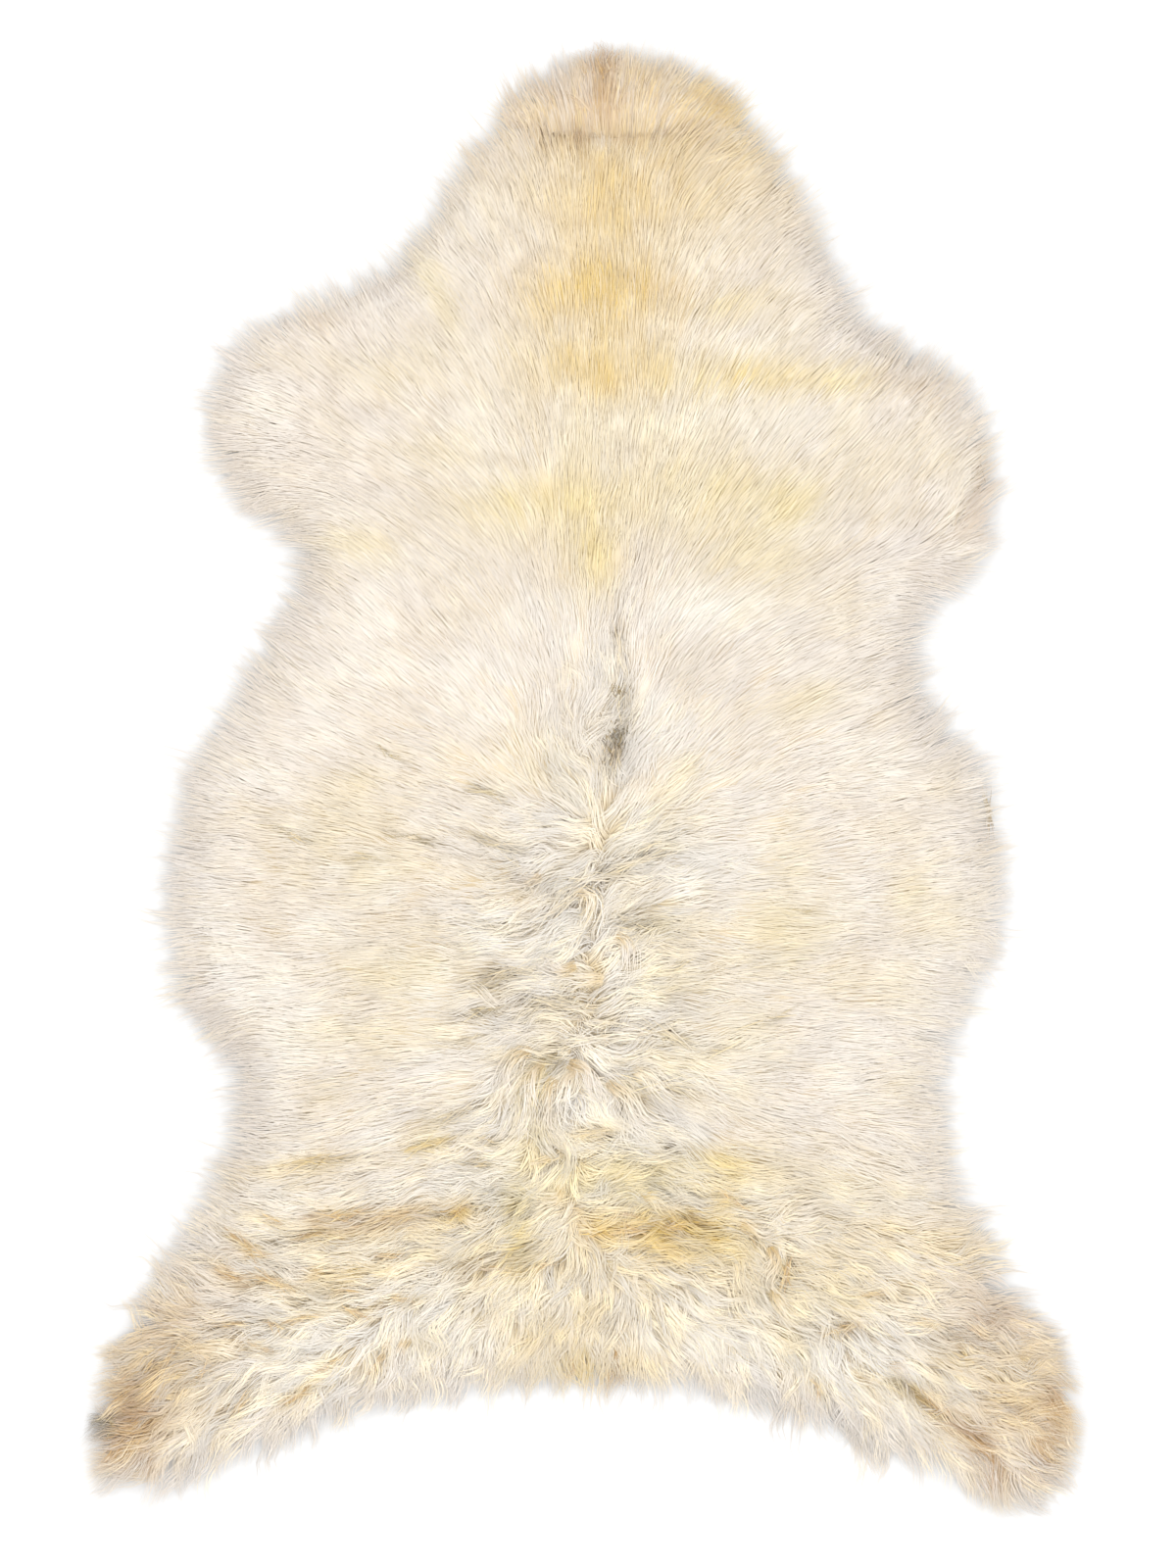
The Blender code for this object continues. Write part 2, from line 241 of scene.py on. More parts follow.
STAINS_AND_PAINTED_LIGHT = {
    "gold": rows_of(
        STAIN_AND_PAINTED_LIGHT_COLUMNS,
        # upper spine, and up the neck
        (15, 354, 46, 20, 0, 0.85), (10, 346, 62, 34, 0, 0.35), (8, 300, 50, 20, 0, 0.55),
        (22, 284, 30, 9, 0, 0.45), (8, 425, 36, 55, 0, 0.42),
        # across the neck
        (24, 476, 95, 30, 0, 0.35), (96, 490, 22, 10, -35, 0.8), (60, 508, 50, 14, -12, 0.35),
        (125, 450, 35, 40, 0, 0.25), (60, 425, 60, 40, 0, 0.35),
        # across the rump
        (10, -331, 18, 7, 8, 0.7), (34, -334, 20, 10, -10, 1.0), (66, -332, 24, 11, 0, 1.0),
        (93, -336, 16, 7, 14, 0.5), (34, -346, 76, 24, 0, 0.45), (-170, -350, 110, 40, 0, 0.14),
        (180, -350, 110, 50, 0, 0.14), (105, -312, 14, 8, -30, 0.6), (-92, -320, 16, 8, 28, 0.6),
        (-142, -322, 30, 8, 10, 0.45), (-164, -336, 32, 6, 10, 0.4), (-168, -366, 30, 6, 8, 0.5),
        (-50, -358, 15, 9, 0, 0.6), (4, -436, 22, 14, 0, 0.5), (0, -412, 70, 34, 0, 0.28),
        # hind legs, and a band on the right shoulder
        (-220, -290, 40, 8, 4, 0.35), (270, -345, 60, 12, -12, 0.3), (130, 291, 60, 9, -2, 0.35),
        (112, -286, 26, 13, 0, 0.3), (-315, -440, 45, 40, 45, 0.4), (320, -450, 40, 50, 45, 0.35),
    ),
    "tan": rows_of(
        STAIN_AND_PAINTED_LIGHT_COLUMNS,
        # top of the neck, and the left of the rump
        (15, 497, 17, 26, 0, 0.85), (16, 534, 9, 14, 0, 0.9), (-20, 504, 50, 24, 0, 0.5),
        (20, 460, 140, 70, 0, 0.2), (60, 500, 40, 24, -20, 0.25), (18, 477, 72, 7, 0, 0.6),
        (96, 492, 16, 7, -35, 0.5), (-150, -326, 36, 7, 10, 0.4),
        # rims of the forelegs, and painted shade in the troughs beside the folds at the right rim
        (-195, 332, 30, 8, -10, 0.35), (240, 285, 30, 8, -20, 0.3), (293, 225, 6, 30, 0, 0.45),
        (284, 185, 12, 16, 0, 0.35), (303, -46, 5, 16, 14, 0.4),
        # hind legs, and faintly the upper back
        (-320, -450, 50, 42, 45, 0.35), (-332, -482, 26, 20, 40, 0.5), (325, -470, 45, 45, 45, 0.35),
        (0, 185, 90, 80, 0, 0.09), (288, -488, 22, 9, -34, 0.4), (-290, -395, 50, 24, 45, 0.3),
        (305, -395, 50, 18, -30, 0.4),
    ),
    "yellow": rows_of(
        STAIN_AND_PAINTED_LIGHT_COLUMNS,
        # the whole upper back, and the rump
        (40, 240, 100, 46, 0, 0.3), (0, 300, 130, 40, 0, 0.2), (20, 420, 120, 40, 0, 0.3),
        (0, 180, 140, 40, 0, 0.2), (20, -300, 70, 26, 0, 0.4),
        # bands on the right shoulder
        (102, 343, 34, 6, 2, 0.6), (120, 291, 68, 9, -2, 0.75), (186, 284, 26, 6, -4, 0.5),
        # across the shoulders
        (-50, 197, 38, 14, 0, 0.6), (0, 186, 22, 42, 0, 0.55), (12, 152, 14, 24, 0, 0.45),
        (90, 205, 86, 20, 0, 0.42), (152, 197, 20, 14, 0, 0.5), (122, 164, 46, 28, -20, 0.4),
        (-108, 352, 12, 30, 24, 0.45), (-165, 166, 26, 14, 0, 0.35), (-140, 290, 30, 14, 0, 0.28),
        (-108, 236, 32, 14, 0, 0.28),
        # flanks
        (-130, -142, 46, 26, 0, 0.34), (-150, -70, 38, 26, 0, 0.26), (-162, -6, 20, 10, 0, 0.34),
        (146, -116, 38, 28, 30, 0.42), (162, 52, 28, 14, 20, 0.34), (242, -84, 18, 22, 0, 0.34),
        (66, -152, 30, 14, 0, 0.34), (-150, -190, 60, 12, 0, 0.25),
        # loin and rump
        (-35, -226, 10, 22, -20, 0.7), (-49, -332, 9, 38, 4, 0.8), (-36, -268, 8, 14, -30, 0.55),
        (32, -292, 46, 10, 0, 0.45), (112, -286, 26, 13, 0, 0.65), (100, -342, 26, 15, 0, 0.5),
        (180, -300, 60, 14, -6, 0.25), (0, -440, 60, 12, 0, 0.3),
    ),
    "rust": rows_of(
        STAIN_AND_PAINTED_LIGHT_COLUMNS,
        # brown hairs at the line across the neck, and painted shadow in its notches
        (16, 475, 62, 4, 0, 0.45), (-4, 466, 3, 10, 0, 0.6), (-29, 464, 3, 8, 0, 0.5),
        (60, 474, 26, 3, 0, 0.4),
        # brown hairs on the hind legs, at the top of the neck and across the rump
        (296, -400, 20, 4, 14, 0.5), (286, -414, 16, 3, 10, 0.4), (350, -462, 8, 12, 20, 0.5),
        (-285, -415, 60, 46, 45, 0.13), (285, -430, 60, 46, -40, 0.11), (16, 505, 22, 26, 0, 0.25),
        (31, -333, 12, 5, 0, 0.45), (66, -331, 12, 5, 0, 0.4), (-150, -326, 34, 6, 10, 0.35),
        (-196, -326, 10, 4, 20, 0.5), (-258, -366, 12, 4, -36, 0.5),
        # tip of the left hind leg
        (-335, -456, 18, 14, 60, 0.45), (-338, -486, 24, 15, 50, 0.9), (-320, -500, 7, 22, 10, 0.5),
        # tip of the right hind leg
        (288, -488, 18, 8, -34, 0.9), (300, -506, 18, 6, -40, 0.6), (258, -466, 26, 4, -40, 0.55),
        (341, -494, 14, 26, -20, 0.65), (346, -466, 10, 14, 0, 0.4), (302, -520, 14, 8, 0, 0.5),
        # a crease on the right hind leg, the end of the rump, the upper spine and the neck's top
        (190, -407, 14, 3, 20, 0.5), (22, -446, 5, 10, 0, 0.45), (40, 356, 26, 6, -6, 0.2),
        (16, 538, 5, 12, 0, 0.5),
    ),
    "white": rows_of(
        STAIN_AND_PAINTED_LIGHT_COLUMNS,
        # the lighter back and flanks
        (85, -60, 90, 60, 0, 0.55), (0, -80, 100, 130, 0, 0.35), (0, -330, 260, 60, 0, 0.3),
        (70, -205, 100, 60, 0, 0.5), (270, -160, 60, 130, 0, 0.35), (-90, -225, 80, 40, 0, 0.25),
        (0, 10, 90, 50, 0, 0.3),
        # pale patches on the shoulders and the back
        (85, 120, 62, 22, 0, 0.9), (108, 312, 36, 12, 0, 0.6), (76, 250, 20, 18, 0, 0.5),
        (150, 256, 62, 18, 0, 0.5), (-40, 116, 34, 20, 0, 0.5), (72, 6, 42, 16, 0, 0.4),
        # loin, rump and hind legs
        (-180, -184, 24, 8, 0, 0.35), (-72, -236, 36, 13, 30, 0.6), (60, -216, 50, 9, -10, 0.5),
        (155, -380, 50, 36, 0, 0.5), (-80, -300, 50, 28, 0, 0.5), (84, -300, 50, 26, 0, 0.5),
        (60, -312, 30, 7, 4, 0.6), (-110, -446, 60, 20, 10, 0.3), (216, -430, 16, 8, 0, 0.6),
        # painted highlights on the ridges of the folds at the right rim
        (291, -18, 4, 18, 10, 0.8), (282, 224, 4, 22, 0, 0.7), (269, 190, 4, 14, 0, 0.6),
        (282, 164, 16, 4, 4, 0.6),
        # left hind leg, and the upper back
        (-240, -340, 40, 14, -20, 0.4), (40, 250, 30, 14, 0, 0.4),
    ),
    "grey": rows_of(
        STAIN_AND_PAINTED_LIGHT_COLUMNS,
        # painted shade in the crack on the spine, and round the deeper creases
        (28, 70, 9, 46, 6, 0.15), (26, 36, 9, 34, -14, 0.25), (-40, -80, 44, 26, 0, 0.05),
        (30, -64, 36, 14, 16, 0.05), (-48, -150, 30, 12, 0, 0.08), (40, -112, 24, 8, -12, 0.12),
        (-100, -258, 34, 14, 18, 0.08), (120, -244, 50, 10, -12, 0.05),
        # both sides of the neck, and the right shoulder
        (-92, 400, 12, 34, 30, 0.1), (165, 380, 34, 16, 30, 0.1), (200, 180, 26, 12, 20, 0.06),
    ),
    "lilac": rows_of(
        STAIN_AND_PAINTED_LIGHT_COLUMNS,
        # the neck, the left shoulder and the upper back
        (-135, 330, 100, 70, 0, 0.5), (-120, 200, 90, 70, 0, 0.4), (0, 450, 130, 80, 0, 0.6),
        (20, 260, 150, 130, 0, 0.4), (20, 140, 150, 70, 0, 0.3),
        # left of the neck's gold
        (-55, 398, 26, 64, 14, 0.75), (-84, 410, 20, 30, 20, 0.4),
        # edges, painted shade where the wool curves down to the floor
        (-272, 256, 22, 66, 0, 0.75), (-214, 128, 22, 76, 0, 0.5), (-292, -96, 26, 86, 0, 0.7),
        (-262, -160, 26, 26, 0, 0.5), (284, 4, 26, 56, 0, 0.6), (296, -80, 20, 50, 0, 0.4),
        (246, 156, 44, 26, 0, 0.85), (192, 176, 22, 12, 0, 0.5), (286, 210, 14, 50, 0, 0.4),
        # spine and loin, the neck's right side, and the hind legs
        (-20, -250, 26, 20, 0, 0.3), (32, 166, 16, 22, 0, 0.6), (64, -232, 54, 20, -10, 0.35),
        (168, 394, 20, 22, 0, 0.5), (0, -60, 60, 40, 0, 0.15), (210, -436, 70, 26, -30, 0.3),
        (-230, -450, 60, 22, 30, 0.3),
    ),
    "soot": rows_of(
        STAIN_AND_PAINTED_LIGHT_COLUMNS,
        # tip of the left hind leg, the crack on the spine, and the right hind leg
        (-360, -482, 12, 6, 24, 1.0), (24, 20, 5, 17, -16, 0.2), (31, 50, 3, 10, 0, 0.15),
        (240, -454, 14, 3, -38, 0.5), (350, -500, 5, 9, 0, 0.25),
    ),
}
STAIN_AND_PAINTED_LIGHT_NAMES = tuple(STAIN_AND_PAINTED_LIGHT_COLOURS)

# Maps over the floor: a grid of this pitch, which reaches past the rug on every side
PITCH = 3.0
REACH_X = 402.0
REACH_Y = 582.0

# The wool's height at the rim, and the width over which it falls from there to the floor
RIM_TOP = 15.0
RIM_FALL = 26.0

# Near the rim the wool turns this much outwards, over about this depth
RIM_TURN = 0.42
RIM_TURN_DEPTH = 30.0

# Locks: how far apart they stand and their rows, as a share of that, how many of those that curl are kept,
# how far in from the rim they root, and the steps of their paths
LOCK_SPACING = 7.5
LOCK_ROWS = 0.866
CURLED_LOCKS_KEPT = 0.45
ROOT_INSET = 9.0
LOCK_STEPS = 15

# How long a lock is, the share of it that lies behind its root, and how it waves: where it's combed straight,
# and what full curl adds
LOCK_LENGTHS = (50.0, 80.0)
SHARES_BEHIND_ROOT = (0.1, 0.5)
LOCK_WAVES = (0.09, 0.58)

# Places that fewer steps of the locks pass over than this, in cells of this size, get so many more locks,
# which stray from the flow
BARE_CELL = 8.0
BARE_STEPS = 7
BARE_LOCKS = 3
BARE_STRAY = 0.3

# Places where the fringe reaches further out, or less far where the reach is negative
LONGER = rows_of(
    "x y radius reach",
    # ends of the hind legs
    (-340, -520, 40, 13), (328, -528, 40, 11), (-350, -460, 46, 9), (-320, -400, 40, 9), (350, -478, 50, 8),
    (322, -395, 40, 10),
    # their undersides
    (-262, -508, 44, 12), (-190, -478, 44, 8), (166, -462, 40, 24), (212, -480, 30, 9), (246, -500, 44, 13),
    # top of the neck, and its right side
    (14, 530, 30, 4), (-42, 508, 36, -12), (104, 508, 34, -9), (164, 390, 50, -10),
    # behind the right foreleg, and the corner of the right flank
    (262, 130, 28, -19), (284, 22, 28, 22),
)

# No lock reaches further out than this, and where a lock has to stop, it counts as being so far outside
FARTHEST = (371.0, 549.0)
FAR_OUT = 1000.0

# This share of the strands reaches further out past the rim, by so much, and the most that a strand reaches
# beyond its lock's own reach
WISP_SHARE = 0.42
WISP_LENGTHS = (6.0, 26.0)
LONGEST_REACH = 42.0

# Strands end where they meet a crease pressed this deep, each at its own depth
CREASE_STOPS = (3.5, 13.0)

# Kinds of strands, by how strongly their lock curls at least: the rings of each ribbon, and the strands to
# a lock. Then the least and the most half width of a ribbon
KINDS = rows_of("curl_from rings strands", (0.0, 4, 13), (0.12, 5, 13), (0.42, 6, 15))
HALF_WIDTHS = (0.24, 0.46)
LOWEST = 0.3  # no ribbon lies lower over the floor

# How far a lock spreads to each side, how high it is rounded, and how far down in the wool its roots begin,
# as a share of the wool's height: each where it's combed straight, and then what full curl adds
LOCK_SPREAD = (6.0, 2.0)
LOCK_DOME = (0.4, 3.4)
ROOT_DEPTH = (0.16, 0.36)

# Strands sink by up to this in wool of this height: where they lie tight, and what loose ones sink more
STRAND_SINK = (0.5, 2.6)
SINK_AT_HEIGHT = 45.0

# The rug's wool in pieces, from the neck down: where each begins
BANDS = rows_of(
    "name below_y",
    ("wool_neck", 1000), ("wool_shoulders", 290), ("wool_back", 90), ("wool_flanks", -40),
    ("wool_loin", -150), ("wool_thighs", -255), ("wool_rump", -372),
)

# Tufts that stand out from the wool: a curl of strands from this place, and its stain
TUFTS = rows_of(
    "x y height turn bend length spread strands stain",
    (16, 512, 18, 96, 20, 32, 5.0, 60, "rust"),  # top of the neck
    (22, 514, 16, 76, -30, 26, 4.0, 40, "tan"),
    (2, 512, 16, 110, 30, 22, 5.0, 40, "tan"),
    (-346, -478, 15, 176, 60, 24, 1.8, 60, "soot"),  # tip of the left hind leg
    (-345, -482, 15, 204, -50, 26, 2.4, 36, "soot"),
    (-338, -492, 10, 236, 30, 26, 4.0, 70, "rust"),
    (-318, -486, 16, 262, -24, 40, 3.0, 50, "rust"),
    (346, -500, 10, -66, -40, 18, 3.0, 20, "soot"),  # tip of the right hind leg
    (340, -476, 14, -70, 30, 34, 5.0, 90, "rust"),
    (24, -424, 22, -84, 60, 30, 2.0, 40, "rust"),  # rump
    (-10, -428, 20, -104, -50, 26, 2.0, 30, "rust"),
    (17, 10, 30, 74, -26, 20, 8.0, 12, "soot"),  # in the crack on the spine
    (21, 23, 30, 84, 26, 22, 10.0, 22, "soot"),
    (24, 38, 30, 96, 30, 20, 8.0, 12, "soot"),
    (19, 14, 32, 70, -20, 22, 10.0, 26, "lilac"),
    (22, 28, 32, 110, -40, 22, 14.0, 24, "soot"),
    (26, 60, 34, 100, -20, 24, 6.0, 30, "grey"),
    (-214, 322, 22, 122, 20, 26, 0.6, 5, "soot"),  # left foreleg
)

# Single curled locks that lie over the rest: the root, the way it starts, its two bends, its size and stain
RINGLETS = rows_of(
    "x y turn first_bend second_bend length width stain",
    (-38, -204, 176, 84, 20, 50, 9, "white"),  # down the left of the loin
    (-22, -222, 240, 40, 70, 58, 9, "white"),
    (-8, -218, 228, 46, 76, 56, 7, "lilac"),
    (-30, -212, 216, 66, -34, 64, 8, "yellow"),
    (-12, -212, -16, -50, -24, 48, 9, "white"),
    (18, -224, -46, -8, 20, 56, 10, "white"),
    (34, -216, -30, -10, 14, 50, 8, "lilac"),
    (-8, -88, 6, -90, -80, 42, 7, "gold"),  # along the back
    (22, -118, -36, -40, -60, 40, 8, "white"),
    (-6, -140, 200, -40, 60, 40, 8, "white"),
    (14, -150, 170, 30, 40, 40, 8, "yellow"),
    (-30, -72, 216, -30, -20, 36, 7, "white"),
    (-92, -314, -80, 70, 80, 34, 7, "white"),  # across the rump
    (112, -326, -40, 20, 60, 34, 7, "white"),
    (136, -346, -70, -50, 60, 40, 7, "white"),
    (140, -376, -100, 60, -40, 36, 7, "white"),
    (40, -308, -10, -30, 40, 44, 7, "white"),
    (-16, -300, 250, -50, -30, 36, 7, "white"),
    (222, -438, 30, -70, -60, 26, 6, "white"),  # over the end of the crease on the right hind leg
    (-126, -414, 200, 70, 70, 34, 7, "white"),
    (-190, -362, 196, -20, 40, 46, 7, "white"),
    (-236, -352, 150, 40, 40, 44, 7, "white"),
)
RINGLET_STRANDS = 30
RINGLET_RINGS = 9
RINGLET_HALF_WIDTHS = (0.2, 0.36)
TUFT_RINGS = 8
TUFT_HALF_WIDTH = 0.3

# Dark hairs in a crease, painted shade of the parted locks with some of the dark root wool that shows there:
# so many to each square millimetre of its half length times its width. Below the last place they turn from
# grey to brown
GAP_HAIRS = 0.30
HAIR_RINGS = 8
HAIR_HALF_WIDTHS = (0.2, 0.5)
BROWN_FROM_Y = -270.0
BROWN_OVER = 40.0

# The hide under the wool, as shares of the rug's plan, its grid and thickness, and the colours and scales of
# its suede
HIDE_ACROSS = 0.93
HIDE_ALONG = 0.965
HIDE_GRID = (40, 64)
HIDE_THICKNESS = 1.6
SUEDE_TAN = (0.62, 0.50, 0.36, 1.0)
SUEDE_PALE = (0.78, 0.69, 0.56, 1.0)
SUEDE_NAP_SCALE = 900.0
SUEDE_BLOTCH_SCALE = 14.0

# The body of the wool: its plan, as shares of the rug's, and its top, as a share of the wool's height, with
# what that loses where the wool curls, at the rim and in creases. Its tone lies between that of the roots,
# 0, and that of the tips, 1, a deeper tone that partly paints the shade of the wool's depths, and a crease of
# the last depth is painted all dark, as shade
FLEECE_ACROSS = 0.925
FLEECE_ALONG = 0.96
FLEECE_GRID = (76, 116)
FLEECE_SHARE = 0.91
FLEECE_SINK = 0.36
FLEECE_RIM_SINK = 0.32
FLEECE_IN_CREASES = 0.8
FLEECE_TONE = 0.3
GAP_DEPTH = 9.0

# The camera looks straight down: the middle of its picture, how far up the rug it shows at the height of
# the wool, and how far above that it stands
PICTURE_CENTRE = Vector((2.88, -7.69, 0.0)) * MM
PICTURE_HEIGHT = 1152.0 * MM
WOOL_LEVEL = 18.0 * MM
CAMERA_DISTANCE = 3.0

# Shades of strands and locks, from the darkest to the lightest
STRAND_SHADES = (0.955, 1.01)
LOCK_SHADES = (0.895, 1.055)
CURLED_LOCK_SHADES = (0.90, 1.11)

# The floor, and the light that falls on it: two round lamps, in metres, and the room
FLOOR_HALF = 6.0
FLOOR_GREY = 0.80
LIGHTS = rows_of(
    "name place size power",
    ("key", (-1.0, 1.2, 3.0), 1.6, 24), ("top", (0.6, -0.6, 3.6), 2.5, 62),
)
ROOM_LIGHT = 0.84


def smooth_step(value):
    value = np.clip(value, 0.0, 1.0)
    return value * value * (3.0 - 2.0 * value)


def section_at(along):
    """The section's columns at each share of the way from the neck to the rump, on smooth curves."""
    table = np.array(SECTIONS, float)
    last = len(table) - 1
    place = np.asarray(along) * last
    first = np.clip(place.astype(int), 0, last - 1)
    t = (place - first)[..., None]
    before, here, there, after = (table[np.clip(first + step, 0, last)] for step in (-1, 0, 1, 2))
    return 0.5 * (
        before * (-t + 2 * t**2 - t**3)
        + here * (2 - 5 * t**2 + 3 * t**3)
        + there * (t + 4 * t**2 - 3 * t**3)
        + after * (t**3 - t**2)
    )


def plan_point(across, along):
    """The place on the floor of a point that lies across (-1 left to 1 right) and along the rug."""
    s = section_at(along)
    left, spine, right = s[..., 0:2], s[..., 2:4], s[..., 4:6]
    across = np.asarray(across)[..., None]
    return spine + across * (right - left) / 2 + ((left + right) / 2 - spine) * across**2 - MIDDLE


def rim_loop(count):
    """Points round the rug's rim, clockwise from the left end of the neck."""
    share = np.linspace(0.0, 1.0, count, endpoint=False)
    ends = np.ones(count)
    return np.concatenate(
        [
            plan_point(2 * share - 1, 0 * ends),
            plan_point(ends, share),
            plan_point(1 - 2 * share, ends),
            plan_point(-ends, 1 - share),
        ]
    )


def is_inside(points, loop):
    """Which points lie in a closed loop, by counting the sides that a line from each point crosses."""
    odd = np.zeros(len(points), bool)
    x, y = points.T
    for (x0, y0), (x1, y1) in zip(loop, np.roll(loop, -1, axis=0)):
        if y0 != y1:
            odd ^= ((y0 > y) != (y1 > y)) & (x < x0 + (x1 - x0) * (y - y0) / (y1 - y0))
    return odd


def distance_to(points, loop):
    """The distance from each point to the nearest side of a closed loop."""
    nearest = np.full(len(points), np.inf)
    for start, end in zip(loop, np.roll(loop, -1, axis=0)):
        run = end - start
        share = np.clip((points - start) @ run / max(run @ run, 1e-9), 0.0, 1.0)
        nearest = np.minimum(nearest, np.linalg.norm(points - start - share[:, None] * run, axis=1))
    return nearest


def sample(field, points):
    """A map's values at places on the floor, between its grid points."""
    u = np.clip((points[..., 0] + REACH_X) / PITCH, 0, field.shape[0] - 1.001)
    v = np.clip((points[..., 1] + REACH_Y) / PITCH, 0, field.shape[1] - 1.001)
    i, j = u.astype(int), v.astype(int)
    u, v = u - i, v - j
    if field.ndim == 3:
        u, v = u[..., None], v[..., None]
    return (
        field[i, j] * (1 - u) * (1 - v)
        + field[i + 1, j] * u * (1 - v)
        + field[i, j + 1] * (1 - u) * v
        + field[i + 1, j + 1] * u * v
    )


def soft_noise(points, size, seed):
    """Smooth noise from -1 to 1 with lumps of about this size."""
    lattice = np.random.default_rng(seed).uniform(-1.0, 1.0, (64, 64))
    u, v = points[..., 0] / size, points[..., 1] / size
    i, j = np.floor(u).astype(int), np.floor(v).astype(int)
    u, v = smooth_step(u - i), smooth_step(v - j)

    def corner(a, b):
        return lattice[(i + a) % 64, (j + b) % 64]

    low = corner(0, 0) * (1 - u) + corner(1, 0) * u
    high = corner(0, 1) * (1 - u) + corner(1, 1) * u
    return low * (1 - v) + high * v


def in_table(rows, places, across, row):
    """A table's value between its rows, and across between its columns, for each point."""
    table = np.array(rows, float)
    columns = [np.interp(row, table[:, 0], column) for column in table[:, 1:].T]
    result = np.zeros_like(across)
    for k in range(len(places) - 1):
        share = (across - places[k]) / (places[k + 1] - places[k])
        here = (share >= 0) & (share <= 1)
        mixed = columns[k] * (1 - share) + columns[k + 1] * share
        result = np.where(here, mixed, result)
    return result


def make_maps():
    """Maps over the floor: each point's place on the rug, how far outside it lies, and the wool's height."""
    x = np.arange(-REACH_X, REACH_X + PITCH, PITCH)
    y = np.arange(-REACH_Y, REACH_Y + PITCH, PITCH)
    shape = (len(x), len(y))
    points = np.stack(np.meshgrid(x, y, indexing="ij"), axis=-1).reshape(-1, 2)

    loop = rim_loop(120)
    outside = distance_to(points, loop)
    outside[is_inside(points, loop)] *= -1

    across, along = np.meshgrid(np.linspace(-1, 1, 121), np.linspace(0, 1, 241), indexing="ij")
    across, along = across.ravel(), along.ravel()
    known = plan_point(across, along)
    tree = kdtree.KDTree(len(known))
    for index, (px, py) in enumerate(known):
        tree.insert((px, py, 0.0), index)
    tree.balance()
    nearest = [tree.find((px, py, 0.0))[1] for px, py in points]

    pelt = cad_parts["pelt"].data
    surface = BVHTree.FromPolygons([v.co for v in pelt.vertices], [p.vertices for p in pelt.polygons])
    down = Vector((0, 0, -1))
    height = np.full(len(points), RIM_TOP)
    for index in np.flatnonzero(outside < -PITCH):
        hit = surface.ray_cast(Vector((*points[index] * MM, 1.0)), down)[0]
        if hit:
            height[index] = hit.z / MM
    fall = 1.0 - smooth_step((outside + 2.0) / RIM_FALL)
    height = np.where(outside < -PITCH, height, RIM_TOP * fall)
    return {
        "points": points.reshape(*shape, 2),
        "outside": outside.reshape(shape),
        "across": across[nearest].reshape(shape),
        "along": along[nearest].reshape(shape),
        "height": height.reshape(shape),
    }


def unit(angle):
    return np.stack([np.cos(angle), np.sin(angle)], axis=-1)


def oval(points, x, y, half_length, half_width, turn):
    """A soft oval: 1 at its middle, fading outwards."""
    turn = math.radians(turn)
    away = points - (x, y)
    along = away[..., 0] * math.cos(turn) + away[..., 1] * math.sin(turn)
    beside = away[..., 1] * math.cos(turn) - away[..., 0] * math.sin(turn)
    return np.exp(-((along / half_length) ** 2) - (beside / half_width) ** 2)


def neck_line(x):
    """How far up the rug the line across the neck runs: it bows up to both its ends."""
    aside = (x - NECK_LINE_MIDDLE) / (NECK_LINE_RIGHT - NECK_LINE_MIDDLE)
    return NECK_LINE_Y + NECK_LINE_BOW * np.minimum(aside**2, 1.5)


def press_creases(maps):
    """Presses the creases into the map of the wool's height, and returns how deep each point lies in one."""
    points = maps["points"]
    pressed = np.zeros(points.shape[:2])
    for c in CREASES:
        pressed = np.maximum(pressed, c.depth * oval(points, c.x, c.y, c.half_length, c.width, c.turn))
    above = points[..., 1] - neck_line(points[..., 0])
    line = NECK_LINE_DEPTH * np.exp(-(((above - 2.0) / NECK_LINE_WIDTH) ** 2))
    line *= smooth_step((points[..., 0] - NECK_LINE_LEFT) / NECK_LINE_FADE)
    line *= smooth_step((NECK_LINE_RIGHT - points[..., 0]) / NECK_LINE_FADE)
    pressed = np.maximum(pressed, line)
    maps["height"] -= np.minimum(pressed, maps["height"] * 0.6)
    for r in RIDGES:
        maps["height"] += r.height * oval(points, r.x, r.y, r.half_length, r.width, r.turn)
    return pressed


def lay_stains_and_painted_light(maps):
    """A map of the strength of every stain, painted shade and painted highlight, in the order of the names of
    their colours.
    """
    points = maps["points"]
    mottle = 1.0 + 0.35 * soft_noise(points, size=14.0, seed=21)
    mottle += 0.25 * soft_noise(points, size=5.0, seed=22)
    layers = []
    for name in STAIN_AND_PAINTED_LIGHT_NAMES:
        layer = np.zeros(points.shape[:2])
        for s in STAINS_AND_PAINTED_LIGHT[name]:
            spot = s.strength * oval(points, s.x, s.y, s.half_length, s.half_width, s.turn)
            layer = layer + spot * (1.0 - layer)
        layers.append(np.clip(layer * mottle, 0.0, 1.0))

    # Besides those: gold that grows with a crease's depth in the loin, grey that grows with it as painted
    # shade of the creases, lilac at the rim as painted shade where the wool curves down, and patches of
    # yellow and white
    patches = soft_noise(points, size=38.0, seed=23) + 0.5 * soft_noise(points, size=19.0, seed=24)
    rim = 0.75 * smooth_step((maps["outside"] + 30.0) / 30.0)
    in_loin = smooth_step((-230.0 - points[..., 1]) / 50.0)
    wider = {
        "gold": np.clip(maps["pressed"] / 14.0, 0.0, 0.5) * in_loin,
        "grey": np.clip(maps["pressed"] / 90.0, 0.01, 0.14),
        "lilac": rim,
        "yellow": np.clip(0.22 * patches, 0.0, 0.3) * (1.0 - rim),
        "white": np.clip(0.95 * maps["curl"] - 0.45 * patches, 0.0, 0.8) * (1.0 - rim),
    }
    for name, layer in wider.items():
        index = STAIN_AND_PAINTED_LIGHT_NAMES.index(name)
        layers[index] = np.maximum(layers[index], layer)
    return np.stack(layers, axis=-1)


